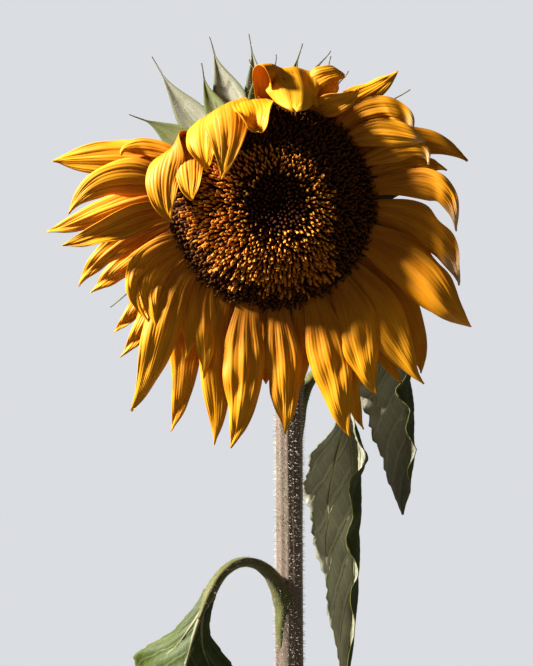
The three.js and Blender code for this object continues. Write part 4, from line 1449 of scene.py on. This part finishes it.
@dataclass
class Disc:
    """The domed disc: a dark bed with three zones of small florets on one golden-angle spiral."""

    radius: float = 66.5
    rise: float = 21.0
    hollow: float = 3.5
    hollow_radius: float = 26.0
    sink: float = 4.2
    spacing: float = 1.38
    count: int = 2290
    splay: float = 0.013
    lean: float = 0.2
    buds_end: float = 23.0
    open_end: float = 55.0
    beyond: float = 999.0
    zone_blur: float = 7.0
    # The zones' middle sits up and to the right, partly as painted shade, and the slant below pushes dark withered
    # florets in over the upper right as painted shade of the dome's far side.
    zone_middle: tuple[float, float] = (6.0, 4.0)
    painted_shade_slant: float = 2.0

    def height(self, r: Array) -> Array:
        """Gives the dome's height at radii."""
        return (self.rise * (1 - (r / self.radius) ** 3)
                - self.hollow * (1 - smoothstep(r, 0, self.hollow_radius)))

    def bed(self, dress: "Wardrobe", head: Head) -> None:
        """Makes the bed that the florets stand on."""
        profile = [(0.5, -2.0), (58.0, -2.0), (63.0, -1.0), (65.5, 0.6)]
        profile += [(r, float(max(1.2, self.height(r) - self.sink))) for r in np.linspace(64.5, 0.5, 44)]
        angle = np.linspace(0, 2 * np.pi, 120, endpoint=False)
        rings = np.array([[(r * math.cos(a), r * math.sin(a), z + 0.25 * math.sin(9 * a + r) * (z > 1))
                           for a in angle] for r, z in profile])
        bed = Draft()
        bed.tube(rings, rise=0.1, tint=0.2)
        settle(show(bed.mesh("disc_bed", [dress.bud], head.matrix())), ["disc"])

    @staticmethod
    def column(sides: int, rings: Sequence[tuple[float, float, float, float]], top: float,
               bright: float = 0.0) -> Draft:
        """Turns a small closed column.

        Args:
            sides: How many sides it has.
            rings: Radius, height, rise and turn of each ring, from the foot up.
            top: The height of its closed end.
            bright: 1 where its faces take the bright finish.

        Returns:
            The column.
        """
        draft = Draft()
        shape = np.array([[(r * math.cos(2 * math.pi * k / sides + turn),
                            r * math.sin(2 * math.pi * k / sides + turn), z)
                           for k in range(sides)] for r, z, _, turn in rings])
        rise = np.array([[c] * sides for _, _, c, _ in rings])
        draft.tube(shape, None, 0, rise=rise, bright=bright)
        draft.points[0][-1, 2] = top
        return draft

    def bud(self) -> Draft:
        """Shapes a closed floret: a blunt six-sided bud with a point."""
        return self.column(
            6, ((0.8, 0, 0, 0), (1.2, 2.4, 0.3, 0.1), (0.95, 4.0, 0.8, 0.2), (0.35, 4.9, 1, 0.3)), 5.1)

    def open_floret(self) -> Draft:
        """Shapes an open floret: a tube with spread lobes and a bright forked tip above them."""
        draft = self.column(
            5, ((0.75, 0, 0, 0), (0.9, 2.4, 0.3, 0), (1.2, 4.0, 0.95, 0), (0.6, 3.9, 0.6, 0)), 3.4)
        for way in (-1, 1):
            arm = self.column(5, ((0.36, 3.2, 0.8, 0), (0.50, 4.6, 0.9, 0), (0.62, 6.0, 1, 0.3),
                                  (0.42, 7.2, 1, 0.5)), 7.6, 1.0)
            points = arm.points[0]
            points[:, 0] += way * (0.18 + 0.035 * np.maximum(0, points[:, 2] - 3.4) ** 1.5)
            draft.add(points, np.zeros((0, 4), dtype=int), rise=1.0, bright=1.0)
            offset = draft.count - len(points)
            draft.faces += [f + offset for f in arm.faces]
            draft.slots += arm.slots
        return draft

    def spent(self) -> Draft:
        """Shapes a withered floret: a thin leaning column with a shrunken mouth."""
        draft = self.column(
            5, ((0.8, 0, 0, 0), (1.1, 1.9, 0.4, 0.2), (0.75, 3.4, 0.7, 0.5), (0.95, 4.9, 1, 0.8)), 4.5)
        draft.points[0][:, 0] += 0.06 * draft.points[0][:, 2] ** 2
        return draft

    def build(self, dress: "Wardrobe", head: Head) -> None:
        """Makes the bed and the three zones of florets.

        Args:
            dress: The plant's finishes.
            head: Where the head sits.
        """
        self.bed(dress, head)
        tree = spiral_tree()
        zones = (
            ("disc_buds", self.bud(), 0.0, self.buds_end, (0.86, 1.0), dress.bud, dress.bud),
            ("disc_open_florets", self.open_floret(), self.buds_end, self.open_end, (0.9, 1.0),
             dress.floret, dress.pollen),
            ("disc_spent_florets", self.spent(), self.open_end, self.beyond, (1.0, 0.86),
             dress.withered, dress.withered),
        )
        for name, shape, start, end, size, body, tip in zones:
            floret = bpy.data.objects.new(name + "_shape", shape.mesh(name + "_shape", [], scale=1.0))
            bpy.context.scene.collection.objects.link(floret)
            mesh = grow(tree, bpy.data.meshes.new(name + "_start"), name, {
                "Count": self.count, "Spacing": self.spacing, "Dome Radius": self.radius,
                "Dome Rise": self.rise, "Hollow": self.hollow, "Hollow Radius": self.hollow_radius,
                "Sink": self.sink + 0.3, "Splay": self.splay, "Lean": self.lean,
                "Zone Start": start, "Zone End": end, "Zone Blur": self.zone_blur,
                "Zone Right": self.zone_middle[0], "Zone Up": self.zone_middle[1],
                "Zone Slant": self.painted_shade_slant, "Slant Reach": self.open_end,
                "Size Start": size[0], "Size End": size[1], "Floret": floret,
                "Body Finish": body, "Tip Finish": tip})
            bpy.data.objects.remove(floret)
            mesh.transform(Matrix.Scale(MM, 4) @ head.matrix())
            settle(show(mesh), ["disc"])


@dataclass
class RayFlorets:
    """The ray florets, in the groups of the solids."""

    collar: float = 66.0
    row_depth: float = 1.7
    root: float = 0.5
    widest: float = 0.42
    out_share: float = 0.62
    lift: float = 0.6
    rib: float = 0.5
    rib_spacing: float = 2.2
    rows: int = 42
    columns: int = 48

    def centre_line(self, ray: Ray) -> Bezier:
        """Gives a floret's centre line, from inside the collar through its middle to its tip."""
        outward = heading(ray.clock)
        root = outward * (self.collar - 3) + [0, 0, -1.4 - self.row_depth * ray.row]
        middle, end = np.array(ray.via, dtype=float), np.array(ray.tip, dtype=float)
        reach = ray.out if ray.out is not None else self.out_share * float(np.linalg.norm(root - middle))
        first = root + outward * reach
        first[2] += self.lift * (middle[2] - root[2])
        return Bezier(np.stack([root, first, (8 * middle - root - 3 * first - end) / 3, end]))

    def half_width(self, t: Array, ray: Ray) -> Array:
        """Gives half a floret's width along it: a narrow root, widest before the middle, a pointed tip."""
        root = self.root + (1 - self.root) * smoothstep(t, 0, self.widest)
        past = np.clip((t - self.widest) / (1 - self.widest), 0, 1)
        taper = (1 - past ** (1.6 + 4.5 * ray.blunt)) ** (0.95 - 0.55 * ray.blunt)
        return np.maximum(0.45, ray.width / 2 * root * taper)

    def surface(self, ray: Ray, rng: np.random.Generator) -> tuple[Array, Array, Array, Array]:
        """Shapes one floret.

        Args:
            ray: The floret.
            rng: Random numbers for its creases.

        Returns:
            Its surface by t and s, where each point lies, its thickness, and how high on a rib it is.
        """
        t = np.linspace(0, 1, self.rows)
        s = np.linspace(-1, 1, self.columns + 1)
        frames = Frames.along(self.centre_line(ray), t, heading(ray.clock + 90))
        if ray.face is not None:
            frames = frames.faced(lerp(ray.clock + 90, ray.face, smoothstep(t, 0.05, 0.75)))
        frames = frames.spun(rng.uniform(-7, 7) * np.sin(2 * np.pi * t))
        # A folded floret stays smooth over its crest.
        calm = 1.0 if ray.face is None else 0.25 + 0.75 * smoothstep(t, 0.55, 0.8)[:, None]
        size, side = np.abs(s)[None, :], np.where(s > 0, 1, 0)[None, :]
        grown = smoothstep(t, 0, 0.5)[:, None]
        cup = ray.cup if ray.open is None else lerp(ray.cup, ray.open, smoothstep(t, 0.5, 0.85))[:, None]
        slope = cup * grown * 2 * size
        roll = np.where(side > 0, ray.roll[1], ray.roll[0])
        slope = slope + roll * smoothstep(size, 0.35, 1.0) * smoothstep(t, 0.15, 0.55)[:, None]
        for way in (0, 1):
            waves, phase = rng.uniform(1.0, 2.6), rng.uniform(0, 1)
            curl = rng.uniform(10, 26) * calm * np.sin(2 * np.pi * (waves * t[:, None] + phase))
            slope = slope + np.where(side == way, curl, 0) * size ** 2 * smoothstep(t, 0.1, 0.4)[:, None]
        width = self.half_width(t, ray)
        grid = frames.unfold(width, s, slope)
        wander = rng.uniform(0.7, 1.3) * t[:, None] + rng.uniform(0, 1)
        wander = s[None, :] + 0.05 * np.sin(2 * np.pi * wander)
        count = max(5, round(ray.width / self.rib_spacing))
        grooves = np.cumsum(rng.uniform(0.6, 1.4, count + 1))
        grooves = lerp(-1.06, 1.06, (grooves - grooves[0]) / (grooves[-1] - grooves[0]))
        order = np.interp(wander, grooves, np.arange(count + 1))
        strength = np.interp(order, np.arange(count + 1) + 0.5, rng.uniform(0.45, 1.25, count + 1))
        ribs = np.abs(np.sin(np.pi * order)) ** 0.55
        keel = np.cos(3 * np.pi * wander + rng.uniform(-.6, .6))
        show_up = smoothstep(t, 0.02, 0.3)[:, None] * (1 - 0.5 * smoothstep(t, 0.8, 1)[:, None])
        narrow = np.minimum(1, width / 5)[:, None]
        lift = (0.034 * width[:, None] * keel * calm + self.rib * ribs * strength * narrow) * show_up
        pucker = rng.uniform(0.3, 0.9) * np.sin(
            2 * np.pi * (rng.uniform(2, 3.5) * t[:, None] + 0.5 * s[None, :]))
        lift = lift + calm * pucker * smoothstep(t, 0.2, 0.6)[:, None]
        grid = grid + grid_normals(grid) * lift[..., None]
        # The tip ends in two or three short teeth.
        nick = rng.uniform(1.0, 2.6) * np.cos(2.6 * np.pi * s + rng.uniform(0, 3))[None, :]
        grid = grid + frames.tangents[:, None] * (nick * smoothstep(t, 0.8, 1)[:, None])[..., None] * 0.6
        if ray.hook:
            bend = smoothstep(t, 0.78, 1)[:, None, None]
            grid = grid - frames.normals[:, None] * ray.hook * bend
        thickness = np.broadcast_to(0.75 - 0.35 * size ** 2, grid.shape[:2])
        uv = np.stack(np.broadcast_arrays((s[None, :] + 1) / 2, t[:, None]), axis=-1)
        return grid, uv, thickness, ribs * show_up + (1 - show_up)

    def build(self, dress: "Wardrobe", head: Head) -> None:
        """Makes the groups of florets.

        Args:
            dress: The plant's finishes.
            head: Where the head sits.
        """
        rng = np.random.default_rng(21)
        for name, rays in RAYS.items():
            group = Draft()
            for ray in rays:
                grid, uv, thickness, ribs = self.surface(ray, rng)
                # rib tells the finish how high each point is on a rib; the finish darkens the grooves with it as
                # painted shade.
                group.sheet(grid, thickness, uv, tint=rng.uniform(0, 1), rib=ribs, dry=ray.dry)
            settle(show(group.mesh(f"rays_{name}", [dress.petal], head.matrix())),
                   [f"ray_florets_{name}"])


@dataclass
class Involucre:
    """The green back of the head: the receptacle's dish and two whorls of bracts round its rim."""

    rim: float = 60.3
    rim_depth: float = 14.0
    depth: float = 36.0
    back: float = 14.0
    collar_depth: float = 3.7

    def dish(self, dress: "Wardrobe", head: Head) -> Draft:
        """Makes the receptacle.

        Args:
            dress: The plant's finishes.
            head: Where the head sits.

        Returns:
            Its draft, for the down that grows on it.
        """
        share = np.linspace(0, 1, 26)
        profile = [(0.5, -self.depth), (9.0, -self.depth - 0.2)]
        profile += [(lerp(self.back, self.rim, math.sin(a * math.pi / 2)),
                     lerp(-self.depth, -self.rim_depth, a ** 1.6)) for a in share]
        profile += [(self.rim + 1.5, -10.0), (self.rim + 3.4, -6.0), (self.rim + 3.9, -2.5),
                    (self.rim + 2, 0.0), (30.0, 0.2), (0.5, 0.2)]
        angle = np.linspace(0, 2 * np.pi, 168, endpoint=False)
        rings = []
        for r, z in profile:
            ribs = (0.35 * np.cos(21 * angle) + 0.25 * np.cos(34 * angle + r / 9)
                    + 0.3 * np.sin(5 * angle + r / 14))
            skin = ribs * float(smoothstep(r, 8, 30)) * (z < -7)
            wide = r + skin
            rings.append(np.stack([wide * np.cos(angle), wide * np.sin(angle), z - skin], axis=-1))
        dish = Draft()
        dish.tube(np.array(rings), fuzz=1.0, tint=0.4)
        settle(show(dish.mesh("receptacle_dish", [dress.receptacle], head.matrix())),
               ["receptacle"])
        return dish

    def half_width(self, t: Array, width: float) -> Array:
        """Gives half a bract's width along it: an egg-shaped body drawn out into a thin tail."""
        body = (0.8 + 0.2 * smoothstep(t, 0, 0.2)) * (1 - smoothstep(t, 0.1, 0.9)) ** 1.15
        return np.maximum(0.22, width / 2 * np.maximum(body, 0.15 * (1 - t) ** 0.7))

    def whorl(self, bracts: Sequence[tuple[float, float, float, float]], front: float, lean: float,
              rng: np.random.Generator) -> Draft:
        """Shapes one whorl of bracts.

        Args:
            bracts: Clock of the base, clock of the tip, reach and width of each bract.
            front: The front of the whorl's ring.
            lean: How far the tips lean back.
            rng: Random numbers for the tails' curls.

        Returns:
            The whorl.
        """
        whorl = Draft()
        t = np.linspace(0, 1, 26)
        s = np.linspace(-1, 1, 11)
        for base, point, reach, width in bracts:
            root = heading(base) * (self.rim + 2) + [0, 0, front - self.collar_depth / 2]
            tip = heading(point) * reach + [0, 0, root[2] - lean]
            bend = root + heading(base) * (reach - self.rim) * 0.5 + [0, 0, -0.9 * lean]
            frames = Frames.along(Bezier(np.stack([root, bend, tip])), t, heading(base + 90))
            curl = smoothstep(t, 0.55, 1)[:, None]
            drift = (rng.uniform(-4.5, 4.5) * curl ** 1.5 * frames.sides
                     + rng.uniform(-2, 3) * curl ** 2 * frames.normals)
            frames = replace(frames, points=frames.points + drift)
            size = np.abs(s)[None, :]
            slope = (np.full((len(t), len(s)), -16.0) - 16 * size
                     + rng.uniform(-10, 10) * np.sin(6 * t)[:, None] * size)
            half = self.half_width(t, width)
            grid = frames.unfold(half, s, slope)
            lift = 0.25 * np.cos(9 * s)[None, :] - 0.45 * np.exp(-(size / 0.14) ** 2)
            lift = lift * smoothstep(t, 0, 0.3)[:, None] * np.minimum(1, half / 4)[:, None]
            grid = grid + grid_normals(grid) * lift[..., None]
            uv = np.stack(np.broadcast_arrays((s[None, :] + 1) / 2, t[:, None]), axis=-1)
            fuzz = 0.25 + 1.6 * smoothstep(size, 0.6, 1.0) + 0 * t[:, None]
            whorl.sheet(grid, 0.9 - 0.4 * size ** 2, uv, tint=rng.uniform(0, 1), fuzz=fuzz)
        return whorl

    def build(self, dress: "Wardrobe", head: Head) -> None:
        """Makes the dish, the bracts and their hairs.

        Args:
            dress: The plant's finishes.
            head: Where the head sits.
        """
        rng = np.random.default_rng(33)
        dish = self.dish(dress, head)
        inner = self.whorl(BRACTS["inner"], -6.3, 13, rng)
        outer = self.whorl(BRACTS["outer"], -10.3, 20, rng)
        settle(show(inner.mesh("bracts_front", [dress.bract_green], head.matrix())),
               ["bracts_inner"])
        settle(show(outer.mesh("bracts_rear", [dress.bract_pale], head.matrix())),
               ["bracts_outer"])
        for name, draft, density, seed in (("bract_hairs_front", inner, 0.16, 11),
                                           ("bract_hairs_rear", outer, 0.16, 12),
                                           ("receptacle_hairs", dish, 0.2, 13)):
            dress.bristles(name, draft, density=density, length=1.3, radius=0.075, seed=seed,
                           place=head.matrix())


# ---- Finishes of the plant ----

@dataclass
class Wardrobe:
    """Every finish of the plant, made once, and the tree that grows its hairs."""

    def __post_init__(self) -> None:
        """Makes the materials and the bristle tree."""
        self.petal = PetalFinish("petal", (0.46, 0.64), 0.5, 0.0003, 0.0, 0.22).make()
        self.bud = FloretFinish("disc bud", (0.7, 0.9), 0.4, 0.0003, 0.0, 0.12, mouth=(0.075, 0.020, 0.005),
                                spot=(0.115, 0.034, 0.007)).make()
        self.floret = FloretFinish("disc floret", (0.6, 0.85), 0.4, 0.0003, 0.0, 0.2,
                                   foot=(0.045, 0.013, 0.004), mouth=(0.30, 0.085, 0.008),
                                   spot=(0.40, 0.13, 0.010)).make()
        self.withered = FloretFinish("withered floret", (0.65, 0.85), 0.4, 0.0003, 0.0, 0.12,
                                     foot=(0.03, 0.009, 0.003), mouth=(0.115, 0.038, 0.007),
                                     spot=(0.20, 0.068, 0.009)).make()
        self.pollen = FloretFinish("pollen tip", (0.5, 0.7), 0.4, 0.0003, foot=(0.30, 0.09, 0.006),
                                   mouth=(0.74, 0.27, 0.012), spot=(0.88, 0.42, 0.035)).make()
        self.leaf_upper = LeafFinish("leaf upper face", (0.5, 0.7), 0.5, 0.0006).make()
        self.leaf_under = LeafFinish("leaf under face", (0.7, 0.85), 0.6, 0.0008, 0.2, 0.25,
                                     (0.235, 0.24, 0.175), (0.30, 0.295, 0.225), (0.42, 0.41, 0.32),
                                     (0.34, 0.33, 0.24), 0.6).make()
        self.leaf_vein = StemFinish("leaf vein", (0.55, 0.75), 0.4, 0.0004, 0.2, 0.3,
                                    (0.235, 0.24, 0.12), (0.31, 0.30, 0.18), (0.44, 0.42, 0.30)).make()
        self.bract_green = BractFinish("green bract", (0.65, 0.85), 0.5, 0.0004, 0.3, 0.25,
                                       (0.10, 0.115, 0.026), (0.06, 0.088, 0.014), (0.14, 0.06, 0.035),
                                       (0.21, 0.21, 0.10)).make()
        self.bract_pale = BractFinish("pale bract", (0.65, 0.85), 0.5, 0.0004, 0.4, 0.25).make()
        self.receptacle = BractFinish("receptacle skin", (0.65, 0.85), 0.5, 0.0005, 0.3, 0.25,
                                      (0.17, 0.20, 0.07), (0.10, 0.14, 0.03), (0.17, 0.20, 0.07),
                                      (0.30, 0.31, 0.17)).make()
        self.stem = StemFinish("stem skin", (0.55, 0.8), 0.5, 0.0005, 0.3, 0.3).make()
        self.stalk = StemFinish("stalk skin", (0.5, 0.75), 0.5, 0.0004, 0.3, 0.3, (0.095, 0.105, 0.022),
                                (0.15, 0.135, 0.045), (0.32, 0.29, 0.15)).make()
        self.hair = BristleFinish("bristle", (0.35, 0.5), 0.1, 0.0001, 0.2, 0.5).make()
        self.hairs = bristle_tree()

    def bristles(self, name: str, skin: Draft, density: float, length: float, radius: float, seed: int,
                 place: Matrix | None = None) -> None:
        """Grows bristles on a skin as a piece of its own.

        Args:
            name: The piece's name.
            skin: What they grow on.
            density: How many to a square millimetre where fuzz is 1.
            length: Their length.
            radius: Their radius at the foot.
            seed: What their places are drawn from.
            place: The matrix in millimetres of the skin's frame.
        """
        carrier = skin.mesh(name + "_skin", [], scale=1.0)
        mesh = grow(self.hairs, carrier, name, {"Density": density, "Length": length, "Radius": radius,
                                                "Seed": seed, "Finish": self.hair})
        mesh.transform(Matrix.Scale(MM, 4) @ (place or Matrix.Identity(4)))
        settle(show(mesh), ())


# ---- Studio ----

@dataclass
class Studio:
    """The floor, the light and the camera."""

    floor_radius: float = 5.0
    floor_colours: tuple[Colour, Colour] = ((0.47, 0.467, 0.458), (0.50, 0.497, 0.49))
    key_from: Triple = (-0.84, -0.15, 0.52)
    key_distance: float = 2.3
    key_size: float = 0.32
    key_spread: float = 76.0
    key_power: float = 38.0
    fill: float = 0.125
    fill_warmth: Colour = (0.98, 0.87, 0.74)
    key_colour: Colour = (1.0, 0.95, 0.87)
    key_aim: Triple = (-0.01, -0.06, 1.15)
    surroundings: Colour = (0.86, 0.88, 0.92)
    surroundings_strength: float = 0.82
    eye: Triple = (-0.0145, -1.38, 1.1075)
    sensor_height: float = 36.0
    focal_length: float = 2000.0 / 666.0 * 36.0
    nearest: float = 0.05

    def floor(self) -> None:
        """Lays the round pale floor."""
        angle = np.linspace(0, 2 * np.pi, 96, endpoint=False)
        draft = Draft()
        ring = np.stack([np.cos(angle), np.sin(angle), 0 * angle], axis=-1) * self.floor_radius
        draft.tube(np.stack([ring + [0, 0, -0.02], ring]))
        material = bpy.data.materials.new("pale floor")
        material.use_nodes = True
        bench = Bench(material.node_tree)
        shader = material.node_tree.nodes["Principled BSDF"]
        places = bench.add("ShaderNodeTexCoord").outputs["Object"]
        drift = bench.noise(places, 3.0, 3)
        bench.feed(shader, "Base Color", bench.mix(drift, *self.floor_colours))
        bench.feed(shader, "Roughness", bench.ranged(drift, 0.2, 0.8, 0.75, 0.85))
        show(draft.mesh("studio_floor", [material], scale=1.0))

    def light(self) -> None:
        """Hangs the key lamp at the upper left and sets the pale surroundings."""
        lamp = bpy.data.lights.new("key", "AREA")
        lamp.shape = "DISK"
        lamp.size = self.key_size
        lamp.spread = math.radians(self.key_spread)
        lamp.energy = self.key_power
        lamp.color = self.key_colour
        key = bpy.data.objects.new("key", lamp)
        towards = Vector(self.key_from).normalized()
        key.location = Vector(self.key_aim) + towards * self.key_distance
        key.rotation_euler = towards.to_track_quat("Z", "Y").to_euler()
        bpy.context.scene.collection.objects.link(key)
        world = bpy.data.worlds.new("studio")
        bpy.context.scene.world = world
        world.use_nodes = True
        bench = Bench(world.node_tree)
        ground = world.node_tree.nodes["Background"]
        path = bench.add("ShaderNodeLightPath").outputs["Is Camera Ray"]
        bench.feed(ground, "Color", bench.mix(path, self.fill_warmth, self.surroundings))
        bench.feed(ground, "Strength", bench.maths(
            "MULTIPLY_ADD", path, self.surroundings_strength - self.fill, self.fill))

    def camera(self) -> None:
        """Sets the level camera in front of the head."""
        lens = bpy.data.cameras.new("camera")
        lens.sensor_fit = "VERTICAL"
        lens.sensor_height = self.sensor_height
        lens.lens = self.focal_length
        lens.clip_start = self.nearest
        eye = bpy.data.objects.new("camera", lens)
        eye.location = self.eye
        eye.rotation_euler = (math.radians(90), 0, 0)
        bpy.context.scene.collection.objects.link(eye)
        bpy.context.scene.camera = eye

    def build(self) -> None:
        """Builds the studio."""
        self.camera()
        self.floor()
        self.light()
        view = bpy.context.scene.view_settings
        view.view_transform = "Standard"
        log.info("studio ready")


def main() -> None:
    """Builds the studio and the plant, piece by piece."""
    logging.basicConfig(level=logging.INFO, format="%(message)s")
    Studio().build()
    dress, head, stem = Wardrobe(), Head(), Stem()
    foliage = Foliage(stem)
    stem.build(foliage.leaves(), head, dress)
    foliage.build(dress)
    Involucre().build(dress, head)
    Disc().build(dress, head)
    RayFlorets().build(dress, head)


if __name__ == "__main__":
    main()
